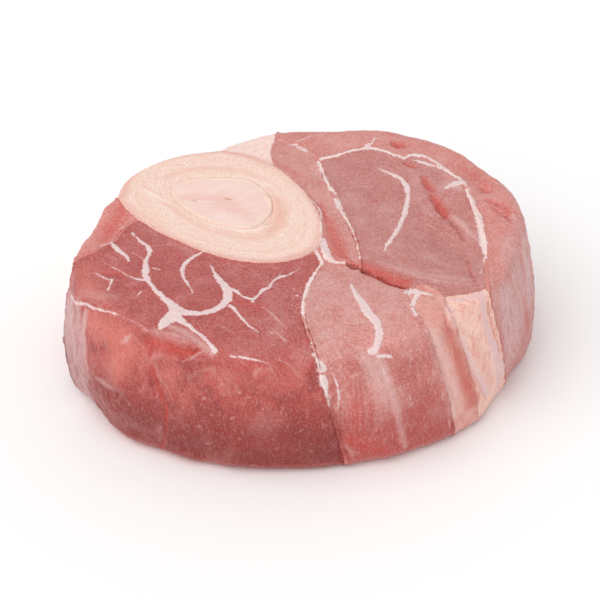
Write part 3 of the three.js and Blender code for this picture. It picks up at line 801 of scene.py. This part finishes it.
# %% Layers and streaks of the bone
trace("tan", [
    ("warm layer, front", .8, [(146, 188, 1), (160, 199, 1.4), (177, 212, 1.4), (193, 223, 1.4),
        (210, 230, 1.2), (237, 236, 1.4), (257, 238, 2), (270, 234, 2.4)]),
    ("warm layer, right", 1, [(268, 234, 2.4), (278, 225, 3.4), (281, 213, 3.6), (278, 201, 2.4),
        (268, 189, 1.2)]),
    ("warm layer, back", .8, [(264, 179, .8), (243, 171, 1.2), (222, 168, 1.8), (203, 168, 1.8),
        (185, 170, 1.6), (168, 176, 1.2), (157, 178, .8)]),
])
trace("streak", [
    ("white streak, left", 1, [(144, 189, .5), (152, 194, .7), (157, 197, .9), (163, 200, .5),
        (170, 203, .6)]),
    ("streaks in the front layers", .6, [(150, 196, .3), (172, 212, .4), (190, 224, .4), (206, 233, .3)]),
    ("white streaks, right", .7, [(253, 185, .4), (262, 188, .5), (270, 192, .5), (282, 198, .3)]),
    ("second white streak, right", .6, [(252, 178, .3), (264, 184, .4), (276, 192, .3)]),
    # painted highlight along the marrow's front edge
    ("white arc of the marrow", 1, [(212, 225, .4), (224, 227, .5), (240, 231, .6), (256, 230, .5),
        (266, 226, .4)]),
    ("white below that line", .6, [(200, 205, .4), (214, 206, .5), (226, 208, .3)]),
])

# %% Lines of the marrow and pink of the rim
trace("rim line", [
    # painted shadow along the marrow's back edge
    ("line of the marrow, back", .7, [(177, 188, .3), (181, 184, .3), (187, 182, .35), (208, 180, .35),
        (228, 180, .35), (247, 181, .35), (253, 185, .3), (258, 191, .3)]),
    ("rough arc", .8, [(263, 197, .3), (268, 200, .35), (271, 204, .4), (272, 212, .4), (271, 219, .4),
        (265, 227, .3)]),
    ("second rough arc", .5, [(258, 195, .3), (264, 203, .3), (267, 212, .3), (266, 221, .3)]),
    ("left vessel", .8, [(193, 204, .5), (195, 205, .6), (197, 203, .5)]),
    ("right vessel", 1, [(226, 202, .6), (229, 203, .8), (231, 203, .5)]),
    ("line between the vessels", .4, [(199, 201, .3), (213, 202, .3), (226, 203, .3), (233, 207, .3),
        (240, 214, .2)]),
    ("dot in the marrow", .6, [(228, 217, .35), (229, 218, .35)]),
])
trace("pink", [
    ("pink of the marrow", .4, [(182, 202, 3), (200, 200, 5), (222, 206, 6), (240, 214, 6),
        (250, 222, 3)]),
    ("pink of the bone's rim", 1, [(123, 197, 1.4), (125, 186, 1.4), (130, 178, 1.2), (143, 167, 1.2),
        (160, 160, 1.2), (190, 153, 1.2), (222, 151, 1.2), (250, 157, 1.2), (270, 166, 1.2)]),
    # along the bone's front and right rim: periosteum, and painted shade on its rounded edge
    ("pink of the rim, front", .8, [(124, 202, 1.2), (137, 212, 1.2), (152, 222, 1), (168, 233, .9),
        (185, 242, .9), (203, 249, .9), (218, 254, .9), (235, 258, .9), (252, 260, .9), (268, 261, .9),
        (285, 259, .9), (298, 255, .9), (310, 248, .9)]),
    ("pink of the rim, right", .7, [(310, 248, .9), (317, 235, .8), (319, 220, .8), (314, 206, .8),
        (300, 190, .8), (285, 176, .8), (270, 166, 1.2)]),
])

# %% [markdown]
# ## Dropping and painting the marks
# A curve through the pixels is sampled closely and each sample is shot onto the solids. The distance of
# every vertex to the nearest sample, less half the width there, tells whether it lies in the mark. A
# little noise on that distance makes the edge ragged, as fat between fibres is.

# %% Drop the marks on the solids
ALL_SOLIDS = tree_of(NODES)
TWIST = math.radians(7)          # the muscles wind round the bone on their way down
BONE_AXIS = (-20.719 * MM, 13.527 * MM)
TWIST_FROM, TWIST_OVER = -48 * MM, 50 * MM   # where along x the twist starts, and how soon it is whole
PIXEL = 0.25 * MM                # a pixel of the photograph, about, on the meat
NEIGHBOURS = 9                   # samples over which the way that the meat faces is evened out
SOLE = 1.5 * MM                  # what faces down below this is the lower cut face
ON_TOP = 28 * MM                 # marks above this lie on the upper cut face


def dropped(path, step=0.35 * MM):
    """Places on the meat under a traced path, with the mark's width and the way the meat faces."""
    row = np.array(path, float)
    along = np.concatenate([[0], np.cumsum(np.hypot(*np.diff(row[:, :2], axis=0).T))])
    count = max(2, int(along[-1] * PIXEL / step))
    at = np.linspace(0, along[-1], count)
    smooth = [np.interp(at, along, row[:, k]) for k in range(3)]
    spots, facing = [], []
    for u, v, wide in zip(*smooth):
        hit, normal = ALL_SOLIDS.ray_cast(EYE, ray_through(u, v))[:2]
        if hit is not None:
            spots.append((*hit, wide * MM))
            facing.append(normal)
    facing = np.array(facing).reshape(-1, 3)
    order = np.arange(len(facing))
    near = np.abs(np.subtract.outer(order, order)) < NEIGHBOURS
    return np.array(spots), near @ facing / near.sum(1, keepdims=True)


marks = []
for name, kind, strength, path in TRACED:
    spots, facing = dropped(path)
    if len(spots):
        marks.append((name, kind, strength, spots, facing))
    else:
        print("nothing under", name)
print(sum(len(mark[3]) for mark in marks), "places in", len(marks), "marks")


# %% Paint the marks on a piece
MASKS = ("fat", "deep", "red", "warm", "pale", "silver", "flecks", "side", "unseen")
RAGGED = 0.3 * MM      # how far the noise moves a mark's edge


def wobble(points, size, seed):
    """Smooth noise from -1 to 1 at each point; the size is that of its swells."""
    shift = Vector((seed * 3.1, seed * 1.7, seed * 0.9))
    return np.array([noise.noise(Vector(p) / size + shift) for p in points])


def as_on_top(points, up):
    """The lower cut face carries the same marks: its points as they lie on the upper one."""
    moved = points.copy()
    x, y = points[:, 0] - BONE_AXIS[0], points[:, 1] - BONE_AXIS[1]
    share = np.clip((points[:, 0] - TWIST_FROM) / TWIST_OVER, 0, 1)
    angle = -TWIST * share * share * (3 - 2 * share)
    moved[:, 0] = BONE_AXIS[0] + x * np.cos(angle) - y * np.sin(angle)
    moved[:, 1] = BONE_AXIS[1] + x * np.sin(angle) + y * np.cos(angle)
    sole = (points[:, 2] < SOLE) & (up < -0.5)
    moved[:, 2] = TOP
    return np.where(sole[:, None], moved, points), sole


def paint_marks(piece):
    """A piece's masks, and how each vertex moves, in metres."""
    ways = directions(piece)
    up = ways[:, 2]
    points, sole = as_on_top(places(piece), up)
    ragged = RAGGED * (wobble(points, 0.5 * MM, 1) + 0.8 * wobble(points, 1.7 * MM, 2))
    patchy = wobble(points, 3 * MM, 3) + 0.5 * wobble(points, 1.2 * MM, 4)
    masks = {mask: np.zeros(len(points)) for mask in MASKS}
    masks["side"] = np.clip(1 - np.abs(up) / 0.8, 0, 1)
    masks["unseen"] = np.clip((ways @ np.array(FORWARD) + 0.3) / 0.2, 0, 1)
    moves = np.zeros((len(points), 3))
    for name, kind, strength, spots, facing in marks:
        mask, soft, height = KINDS[kind]
        reach = soft * MM + spots[:, 3].max()
        low, high = spots[:, :3].min(0) - reach, spots[:, :3].max(0) + reach
        inside = (points[:, :2] > low[:2]).all(1) & (points[:, :2] < high[:2]).all(1)
        inside &= sole | ((points[:, 2] > low[2]) & (points[:, 2] < high[2]))
        near = np.nonzero(inside)[0]
        if not len(near) or (sole[near].all() and spots[:, 2].mean() < ON_TOP):
            continue
        away = points[near, None, :] - spots[None, :, :3]
        away[..., 2] *= np.where(sole[near], 0, 1)[:, None]
        beyond = np.sqrt((away ** 2).sum(2)) - spots[:, 3] / 2
        nearest = beyond.argmin(1)
        edge = beyond.min(1)
        edge += ragged[near] * np.clip(spots[:, 3].mean() / MM, 0.35, 1)
        edge += patchy[near] * 0.45 * max(0, soft - 1) * MM
        share = np.clip(0.5 - edge / (2 * soft * MM), 0, 1) * strength
        share = share * share * (3 - 2 * share)
        if mask:
            masks[mask][near] = np.maximum(masks[mask][near], share)
        far = share * height * MM * np.where(sole[near], 0, 1)
        moves[near] += far[:, None] * facing[nearest]
    return masks, moves


# %% [markdown]
# ## Seams and relief
# The photograph shows where the seams in front are white. Behind, a muscle's rim is white wherever it
# meets the tissue. A Displace modifier would push every piece along its own normals and open the seams,
# so the relief is given by hand: each mark moves all pieces the same way, that in which the meat faces.

# %% Whiten the rims at the seams, then raise and sink the marks
TISSUE_TREE = tree_of(["white_tissue", "white_tissue_left"])


def whiten_rims(piece, masks, width):
    """Paints fat where a muscle meets the tissue, on the sides that the photograph doesn't show."""
    points = places(piece)
    near = distance_to(TISSUE_TREE, points, 2 * MM)
    slow = wobble(points, 5 * MM, 7) + 0.6 * wobble(points, 1.1 * MM, 8)
    edge = near - width * (0.75 + 0.6 * slow)
    white = masks["unseen"] * np.clip(0.5 - edge / (0.7 * MM), 0, 1)
    masks["fat"] = np.maximum(masks["fat"], 0.85 * white)


def keep_masks(piece, masks):
    """Stores each mask as an attribute that the finishes read."""
    for mask, shares in masks.items():
        layer = piece.data.attributes.new(mask, "FLOAT", "POINT")
        layer.data.foreach_set("value", shares.astype(np.float32))


def carve(piece, moves):
    """Moves the vertices to where the marks want them."""
    moved = (places(piece) + moves).astype(np.float32)
    piece.data.vertices.foreach_set("co", moved.ravel())
    piece.data.update()


RIM = 0.3 * MM             # how wide a seam is white where the photograph doesn't show it
MARROW_SWELL = 1.15 * MM  # the soft marrow stands almost level with the sawn bone
for node, piece in pieces.items():
    masks, moves = paint_marks(piece)
    if node == "marrow":
        moves[:, 2] += MARROW_SWELL * is_cut_face(piece)
    if node in MUSCLES:
        whiten_rims(piece, masks, RIM)
    keep_masks(piece, masks)
    carve(piece, moves)
    print(piece.name, "fat on", int((masks["fat"] > 0.5).sum()), "vertices")

# %% [markdown]
# ## Soft lumps
# Raw meat isn't as smooth as the solids: the flank swells in soft lumps and the saw leaves a fine
# roughness on the cut. Displace modifiers with cloud textures give both. The clouds lie in space, not on
# each piece, so neighbours rise and sink together and the seams stay closed.

# %% Lumps and roughness
def clouds(name, size):
    texture = bpy.data.textures.new(name, "CLOUDS")
    texture.noise_scale = size
    texture.noise_depth = 2
    return texture


LUMPS = clouds("soft_lumps", 7 * MM)
DIMPLES = clouds("dimples", 2.8 * MM)
ROUGHNESS = clouds("saw_roughness", 1.1 * MM)


def loosen(piece):
    """Lumps and dimples on the flank, roughness on the whole; the sole stays flat."""
    points, up = places(piece), directions(piece)[:, 2]
    free = np.where((points[:, 2] < 0.6 * MM) & (up < -0.3), 0, 1)
    flank = group_of(piece, "flank", free * np.clip(1.15 - np.abs(up), 0.25, 1))
    whole = group_of(piece, "whole", free)
    for name, texture, far, group in (("lumps", LUMPS, 1.2 * MM, flank),
                                      ("dimples", DIMPLES, 0.5 * MM, flank),
                                      ("roughness", ROUGHNESS, 0.22 * MM, whole)):
        finished(piece, name, "DISPLACE", strength=far, texture=texture, mid_level=0.5,
                 texture_coords="LOCAL", vertex_group=group)
    piece.vertex_groups.clear()


for node, piece in pieces.items():
    if node not in ("bone", "marrow"):
        loosen(piece)

# %% [markdown]
# ## Finishes: a few helpers
# A finish is a small tree of nodes. These helpers add a node with its settings and link its sockets, so
# that each finish below reads like a recipe.

# %% Node helpers
def colour(red, green, blue):
    """A colour as read from the screen, 0 to 255, as the linear values that Blender wants."""
    parts = [c / 255 for c in (red, green, blue)]
    return tuple(c / 12.92 if c < 0.04045 else ((c + 0.055) / 1.055) ** 2.4 for c in parts) + (1,)


class Finish:
    """A material whose nodes are added one after another."""

    def __init__(self, name):
        self.material = bpy.data.materials.new(name)
        self.material.use_nodes = True
        self.tree = self.material.node_tree
        self.shader = self.tree.nodes["Principled BSDF"]

    def plug(self, socket, value):
        if isinstance(value, bpy.types.NodeSocket):
            self.tree.links.new(value, socket)
        else:
            socket.default_value = value

    def add(self, kind, out=0, settings=None, **values):
        node = self.tree.nodes.new("ShaderNode" + kind)
        for key, value in (settings or {}).items():
            setattr(node, key, value)
        for key, value in values.items():
            self.plug(node.inputs[key.replace("_", " ")], value)
        return node.outputs[out]

    def mask(self, name):
        return self.add("Attribute", 2, {"attribute_name": name})

    def stretched(self, scale):
        place = self.add("TexCoord", 3)
        return self.add("Mapping", Vector=place, Scale=scale)

    def grain(self, size, stretch=(1, 1, 1), detail=4.0, roughness=0.6, distortion=0.0):
        """Noise whose swells are about this size, in metres."""
        return self.add("TexNoise", Vector=self.stretched(stretch), Scale=1 / size, Detail=detail,
                        Roughness=roughness, Distortion=distortion)

    def strands(self, size, wander, stretch=(1, 1, 1)):
        """Fine wavy lines that lie side by side, this far apart, and wander like fibres."""
        return self.add("TexWave", 1, {"bands_direction": "DIAGONAL"}, Vector=self.stretched(stretch),
                        Scale=0.314 / size, Distortion=wander, Detail=2.0, Detail_Scale=0.16,
                        Detail_Roughness=0.6)

    def sums(self, operation, first, second):
        node = self.tree.nodes.new("ShaderNodeMath")
        node.operation = operation
        self.plug(node.inputs[0], first)
        self.plug(node.inputs[1], second)
        return node.outputs[0]

    def times(self, first, second):
        return self.sums("MULTIPLY", first, second)

    def plus(self, first, second):
        return self.sums("ADD", first, second)

    def part(self, value, low, high, amount=1.0):
        """0 below the low value, the amount above the high one; a low above the high turns it round."""
        return self.add("MapRange", 0, {"interpolation_type": "SMOOTHSTEP"}, Value=value,
                        From_Min=low, From_Max=high, To_Max=amount)

    def mix(self, share, first, second):
        node = self.tree.nodes.new("ShaderNodeMix")
        node.data_type = "RGBA"
        self.plug(node.inputs[0], share)
        self.plug(node.inputs[6], first)
        self.plug(node.inputs[7], second)
        return node.outputs[2]

    def mix_numbers(self, share, first, second):
        return self.add("Mix", 0, Factor=share, A=first, B=second)

    def vary(self, tone, noise_value, *turns):
        """Turns a tone to other colours where a noise passes from one value to another."""
        for start, full, amount, shade in turns:
            tone = self.mix(self.part(noise_value, start, full, amount), tone, shade)
        return tone

    def lay(self, tone, *layers):
        """Lays colours over a tone; each layer is a mask, how far it covers, and its colour."""
        for mask, amount, shade in layers:
            tone = self.mix(self.times(self.mask(mask), amount), tone, shade)
        return tone

    def done(self, tone, bump, inward, reach, **values):
        """Sets the shader; the light that goes in comes out within the reach, in millimetres."""
        values.update(Base_Color=tone, Normal=bump, Subsurface_Weight=inward, Subsurface_Scale=1.0,
                      Subsurface_Radius=[distance * MM for distance in reach])
        for key, value in values.items():
            self.plug(self.shader.inputs[key.replace("_", " ")], value)
        print("finish", self.material.name, "has", len(self.tree.nodes), "nodes")
        return self.material


# %% [markdown]
# ## Flesh
# On the cut face the fibres end, so their grain is short. On the flank they lie lengthwise, so the
# grain is stretched upright there. Slow noise drifts the pink between deeper and paler, the masks lay
# on fat, silverskin and the painted shade of folds, painted shade darkens the flank towards its foot,
# fine specks are painted glints and shadows, and a faint coat is the moist film. A little light goes
# into the flesh.

# %% Colours of flesh and fat
# white of fat, and of flecks that are painted glints
FAT_WHITE_AND_GLINT = colour(238, 215, 213)
FAT_SHADE = colour(226, 188, 186)
FAT_HALO = colour(222, 160, 154)
# deep red: painted shade in gullies and shade patches; red: the meat's red where blood stays, and painted
# shade in creases, folds and hollows
PAINTED_SHADE_RED = colour(168, 48, 38)
RED_AND_PAINTED_SHADE = colour(205, 70, 57)
# warm orange-pink, and painted light on the left and front flank
WARM_AND_LIGHT = colour(226, 126, 110)
# pale: dry meat and tissue, and painted highlights on ridges, lips and rolls
PALE_PINK_AND_HIGHLIGHT = colour(230, 182, 176)
# painted shadow in the pores between the fibres
PORE_SHADOW = colour(126, 44, 38)
SILVER = colour(200, 150, 150)
SILVER_PALE = colour(226, 190, 188)


# %% The lean of a muscle
def lean_tone(finish, side, mottles, shades):
    """The muscle's pink: of the cut face, of the flank, deeper at its foot as painted shade, and mottled.
    """
    deep, lean, pale, flank, foot = shades
    drift = finish.grain(6 * MM, stretch=(1, 1, 0.6), detail=3)
    height = finish.add("SeparateXYZ", 2, Vector=finish.add("TexCoord", 3))
    # low: painted shade that darkens the flank from 26 mm down to 4 mm above the floor
    low = finish.times(finish.part(height, 26 * MM, 4 * MM), side)
    tone = finish.mix(side, lean, flank)
    tone = finish.mix(low, tone, foot)
    tone = finish.mix(finish.times(finish.part(drift, 0.52, 0.4, 0.6), side), tone, foot)
    tone = finish.vary(tone, drift, (0.5, 0.34, 0.4, deep), (0.5, 0.68, 0.3, pale))
    tone = finish.vary(tone, mottles, (0.5, 0.3, 0.45, deep), (0.52, 0.72, 0.45, pale))
    # warm is partly painted light on the flank, red and deep red partly painted shade in creases, folds
    # and hollows, pale partly painted highlight
    tone = finish.lay(tone, ("warm", 0.75, WARM_AND_LIGHT), ("red", 0.94, RED_AND_PAINTED_SHADE), ("deep", 0.85, PAINTED_SHADE_RED),
                      ("pale", 0.8, PALE_PINK_AND_HIGHLIGHT))
    streaks = finish.grain(1.3 * MM, stretch=(1, 1, 0.25), detail=5, roughness=0.7, distortion=0.6)
    film = finish.mix(finish.part(streaks, 0.36, 0.64), SILVER, SILVER_PALE)
    return finish.lay(tone, ("silver", 0.9, film)), low


# %% The fibres of a muscle
def lay_fibres(finish, tone, side, low, ends, shades):
    """Grain and wavy strands over the pink; they are short on the cut face and upright on the flank."""
    deep, lean, pale, flank, foot = shades
    cut = finish.part(side, 1, 0)
    lengths = finish.grain(0.6 * MM, stretch=(1, 1, 0.3), detail=5, roughness=0.7, distortion=0.4)
    fibres = finish.mix_numbers(side, ends, lengths)
    waves = finish.times(finish.strands(0.66 * MM, 46, (1, 1, 0.4)),
                         finish.part(finish.grain(0.9 * MM, detail=3), 0.38, 0.6))
    # fine specks: dark ones are painted shadow between the fibres, pale ones painted glints of the moist
    # film
    glints_and_shadows = finish.grain(0.34 * MM, detail=2, roughness=0.5)
    tone = finish.vary(tone, fibres, (0.5, 0.3, 0.65, deep), (0.52, 0.7, 0.7, pale))
    wavy = finish.times(waves, finish.part(side, 1, 0, 0.2))
    tone = finish.mix(finish.plus(wavy, finish.times(waves, 0.1)), tone, pale)
    tone = finish.mix(finish.times(finish.part(waves, 0.2, 0, 0.12), cut), tone, deep)
    tone = finish.vary(tone, glints_and_shadows, (0.5, 0.3, 0.3, PORE_SHADOW), (0.52, 0.7, 0.4, pale))
    # painted shade once more darkens the flank towards its foot
    tone = finish.mix(finish.times(low, 0.42), tone, foot)
    # the red is laid once more: painted shade in the creases, and red where blood stays
    return finish.lay(tone, ("red", 0.25, RED_AND_PAINTED_SHADE)), fibres, waves


# %% The fat of a muscle, and the whole finish
def lay_fat(finish, tone, ends):
    """White fat with a ragged edge and a soft halo, and crumbs of it and painted glints beside the veins.
    """
    crumbs = finish.grain(0.4 * MM, detail=3)
    # specks: white flecks, crumbs of fat and painted glints of the moist film
    specks = finish.times(finish.part(crumbs, 0.6, 0.68, 0.85), finish.mask("flecks"))
    ragged = finish.times(finish.sums("SUBTRACT", crumbs, 0.5), 0.9)
    fat = finish.mask("fat")
    tone = finish.vary(tone, fat, (0.02, 0.5, 0.6, FAT_HALO))
    fat = finish.sums("MAXIMUM", finish.part(finish.plus(fat, ragged), 0.34, 0.62), specks)
    return finish.mix(fat, tone, finish.mix(finish.part(ends, 0.56, 0.34), FAT_WHITE_AND_GLINT, FAT_SHADE)), fat


def flesh(name, *shades):
    finish = Finish(name)
    side = finish.mask("side")
    ends = finish.grain(0.5 * MM, detail=4, roughness=0.8)
    mottles = finish.grain(2 * MM, detail=5, roughness=0.7, distortion=0.8)
    tone, low = lean_tone(finish, side, mottles, shades)
    tone, fibres, waves = lay_fibres(finish, tone, side, low, ends, shades)
    tone, fat = lay_fat(finish, tone, ends)
    relief = finish.plus(fibres, finish.times(finish.sums("MAXIMUM", fat, waves), 0.5))
    bump = finish.add("Bump", Strength=0.6, Distance=0.16 * MM, Height=relief)
    wet = finish.mix_numbers(finish.part(mottles, 0.4, 0.6), 0.34, 0.5)
    return finish.done(tone, bump, 0.1, (1.6, 0.6, 0.45), Roughness=wet, Coat_Weight=0.1,
                       Coat_Roughness=0.3, Specular_IOR_Level=0.4)


# %% Flesh for each muscle
# slot, then deep, lean and pale of the cut face, and the flank above, partly painted shade, and at its
# foot, painted shade
FLESHES = {
    "muscle_large": ("meat_large", (158, 58, 54), (188, 86, 82), (214, 146, 140),
                     (194, 78, 69), (126, 26, 20)),
    "muscle_front": ("meat_front", (194, 106, 99), (217, 148, 141), (232, 188, 182),
                     (204, 108, 98), (178, 54, 47)),
    "muscle_round": ("meat_round", (180, 98, 94), (200, 126, 120), (222, 174, 168),
                     (200, 128, 122), (182, 98, 92)),
    "muscle_strip": ("meat_strip", (198, 112, 105), (215, 148, 140), (232, 184, 178),
                     (206, 122, 113), (188, 92, 85)),
    "muscle_rim": ("meat_rim", (200, 104, 95), (214, 138, 130), (232, 180, 174),
                   (212, 143, 138), (194, 110, 104)),
    "muscle_left": ("meat_left", (206, 98, 90), (218, 126, 117), (232, 170, 162),
                    (212, 120, 111), (190, 84, 76)),
}
for node, (slot, *shades) in FLESHES.items():
    pieces[node].data.materials.append(flesh(slot + "_flesh", *[colour(*shade) for shade in shades]))

# %% [markdown]
# ## White tissue
# The tissue in the seams is off-white and stringy, with a hint of the flesh beside it.

# %% White tissue
SEAM_PINK = colour(214, 136, 128)
SEAM_RED_AND_SHADE = colour(210, 104, 94)


def stringy(name, white, shade):
    finish = Finish(name)
    strings = finish.grain(0.5 * MM, stretch=(1, 1, 0.2), detail=4)
    tone = finish.mix(finish.part(strings, 0.34, 0.56), shade, white)
    shown = finish.part(finish.sums("MAXIMUM", finish.mask("fat"), finish.mask("unseen")), 0.2, 0.6)
    tone = finish.mix(shown, SEAM_PINK, tone)
    # red and deep red are painted shade where creases and gullies cross the tissue, and red patches of the
    # meat
    tone = finish.lay(tone, ("red", 0.9, SEAM_RED_AND_SHADE), ("deep", 0.9, PAINTED_SHADE_RED))
    bump = finish.add("Bump", Strength=0.3, Distance=0.12 * MM, Height=strings)
    return finish.done(tone, bump, 0.1, (1, 0.6, 0.5), Roughness=0.5)


tissue_white = stringy("seam_white", colour(247, 226, 220), colour(234, 194, 187))
for node in ("white_tissue", "white_tissue_left"):
    pieces[node].data.materials.append(tissue_white)

# %% [markdown]
# ## Fat and tendon
# Firm fat is cream with pink lobules. The tendon is pinker and runs lengthwise in a pale sheath.

# %% Fat and tendon
FAT_FLESH = colour(226, 152, 138)
FAT_RED_AND_SHADE = colour(202, 94, 80)


def fatty(name, cream, pink, stretch, sheath):
    finish = Finish(name)
    lobules = finish.grain(1.2 * MM, stretch=stretch, detail=6, roughness=0.7, distortion=0.8)
    specks = finish.grain(0.5 * MM, stretch=stretch, detail=4, roughness=0.7)
    tone = finish.mix(finish.part(lobules, 0.34, 0.56), pink, cream)
    # red and deep red are painted shade in the grooves beside the band and the tendon, and the pink of the
    # flesh beside them
    tone = finish.lay(tone, ("warm", 0.8, FAT_FLESH), ("red", 0.85, FAT_RED_AND_SHADE), ("pale", 0.9, sheath),
                      ("deep", 0.6, RED_AND_PAINTED_SHADE), ("silver", 0.6, SILVER_PALE))
    tone = finish.vary(tone, finish.mask("fat"), (0.3, 0.6, 1, FAT_WHITE_AND_GLINT))
    tone = finish.vary(tone, specks, (0.5, 0.3, 0.4, FAT_FLESH))
    bump = finish.add("Bump", Strength=0.3, Distance=0.2 * MM, Height=lobules)
    return finish.done(tone, bump, 0.15, (1.6, 0.9, 0.6), Roughness=0.42, Coat_Weight=0.12,
                       Coat_Roughness=0.3)


# slot, then cream, pink and sheath, and how much shorter the grain is along each axis
FATS = {
    "fat_pad": ("fat", (250, 224, 215), (244, 196, 186), (240, 214, 208), (1, 1, 0.5)),
    "fat_band": ("fat_band", (250, 206, 190), (232, 166, 152), (230, 192, 192), (1, 1, 0.3)),
    "tendon": ("tendon", (228, 168, 156), (208, 132, 120), (233, 190, 182), (1, 1, 0.25)),
}
for node, (slot, cream, pink, sheath, stretch) in FATS.items():
    material = fatty(slot + "_finish", colour(*cream), colour(*pink), stretch, colour(*sheath))
    pieces[node].data.materials.append(material)

# %% [markdown]
# ## Bone and marrow
# The sawn ring shows its layers: a pinkish skin outside, hard cream bone, then a warmer band round the
# marrow. A mask that runs from 0 at the outer wall to 1 at the marrow lays these rings. The marrow is
# pale pink, whiter at its edge, with two small vessels near the middle.

# %% Masks across the bone and the marrow
WIDE = 40 * MM         # farther than any place in the bone is from its walls
MARROW_EDGE = 3 * MM   # the paler edge of the marrow

bone_places = places(pieces["bone"])
inner = distance_to(tree_of(["marrow"]), bone_places, WIDE)
outer = distance_to(tree_of([n for n in NODES if n not in ("bone", "marrow")]), bone_places, WIDE)
keep_masks(pieces["bone"], {"across": outer / (inner + outer)})
edge = distance_to(tree_of(["bone"]), places(pieces["marrow"]), MARROW_EDGE)
keep_masks(pieces["marrow"], {"inside": edge / MARROW_EDGE})
print("the bone's wall is", round((inner + outer).mean() / MM, 1), "mm across on average")

# %% Bone and marrow finishes
TAN = colour(236, 184, 166)
# dark lines of the bone, and painted shadow at the marrow's back edge
BONE_LINE_AND_SHADOW = colour(208, 146, 126)
# pink of the bone's skin, and painted shade along its front rim
BONE_PINK_AND_SHADE = colour(230, 168, 156)
# white of the bone, and a painted highlight along the marrow's front edge
BONE_WHITE_AND_HIGHLIGHT = colour(255, 238, 228)


BONE_LAYERS = (("warm", 0.8, TAN), ("red", 0.85, BONE_PINK_AND_SHADE), ("deep", 0.9, BONE_LINE_AND_SHADOW),
               ("fat", 0.9, BONE_WHITE_AND_HIGHLIGHT))


def sawn_bone():
    finish = Finish("sawn_bone")
    drift = finish.grain(5 * MM, detail=3)
    across = finish.plus(finish.mask("across"), finish.times(finish.sums("SUBTRACT", drift, 0.5), 0.3))
    tone = finish.mix(finish.part(across, 0.0, 0.16), colour(234, 180, 170), colour(248, 213, 196))
    tone = finish.vary(tone, across, (0.7, 0.92, 0.8, colour(248, 212, 196)))
    rings = finish.add("CombineXYZ", X=finish.times(across, 22), Y=finish.times(drift, 5),
                       Z=finish.grain(2 * MM))
    layers = finish.add("TexNoise", Vector=rings, Scale=1.0, Detail=5)
    pores = finish.grain(0.55 * MM, detail=5, roughness=0.8)
    specks = finish.grain(0.32 * MM, detail=2, roughness=0.5)
    tone = finish.vary(tone, layers, (0.5, 0.66, 0.5, TAN), (0.48, 0.32, 0.5, BONE_WHITE_AND_HIGHLIGHT))
    tone = finish.vary(tone, pores, (0.5, 0.68, 0.75, TAN), (0.5, 0.34, 0.75, BONE_WHITE_AND_HIGHLIGHT))
    tone = finish.vary(tone, specks, (0.5, 0.3, 0.4, BONE_LINE_AND_SHADOW), (0.5, 0.7, 0.6, BONE_WHITE_AND_HIGHLIGHT))
    tone = finish.lay(tone, *BONE_LAYERS)
    bump = finish.add("Bump", Strength=0.3, Distance=0.12 * MM, Height=pores)
    return finish.done(tone, bump, 0.1, (1.2, 0.8, 0.6), Roughness=0.55)


def soft_marrow():
    finish = Finish("soft_marrow")
    drift = finish.grain(3 * MM, stretch=(0.5, 1, 1), detail=5)
    tone = finish.mix(finish.part(drift, 0.36, 0.66, 0.8), colour(246, 208, 199), colour(250, 222, 212))
    inside = finish.plus(finish.mask("inside"), finish.sums("SUBTRACT", drift, 0.5))
    tone = finish.mix(finish.part(inside, 0.1, 0.7), colour(249, 216, 200), tone)
    tone = finish.lay(tone, *BONE_LAYERS)
    bump = finish.add("Bump", Strength=0.3, Distance=0.15 * MM, Height=finish.grain(1 * MM))
    return finish.done(tone, bump, 0.15, (1.6, 0.9, 0.7), Roughness=0.45)


pieces["bone"].data.materials.append(sawn_bone())
pieces["marrow"].data.materials.append(soft_marrow())

# %% [markdown]
# ## Riding on the body
# Every piece rides on the one body and stands for its own solid.

# %% Ride, replace and finish
for node, piece in pieces.items():
    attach(piece, "root")
    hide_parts(node)
    print(piece.name, sum(len(face.vertices) - 2 for face in piece.data.polygons), "triangles")
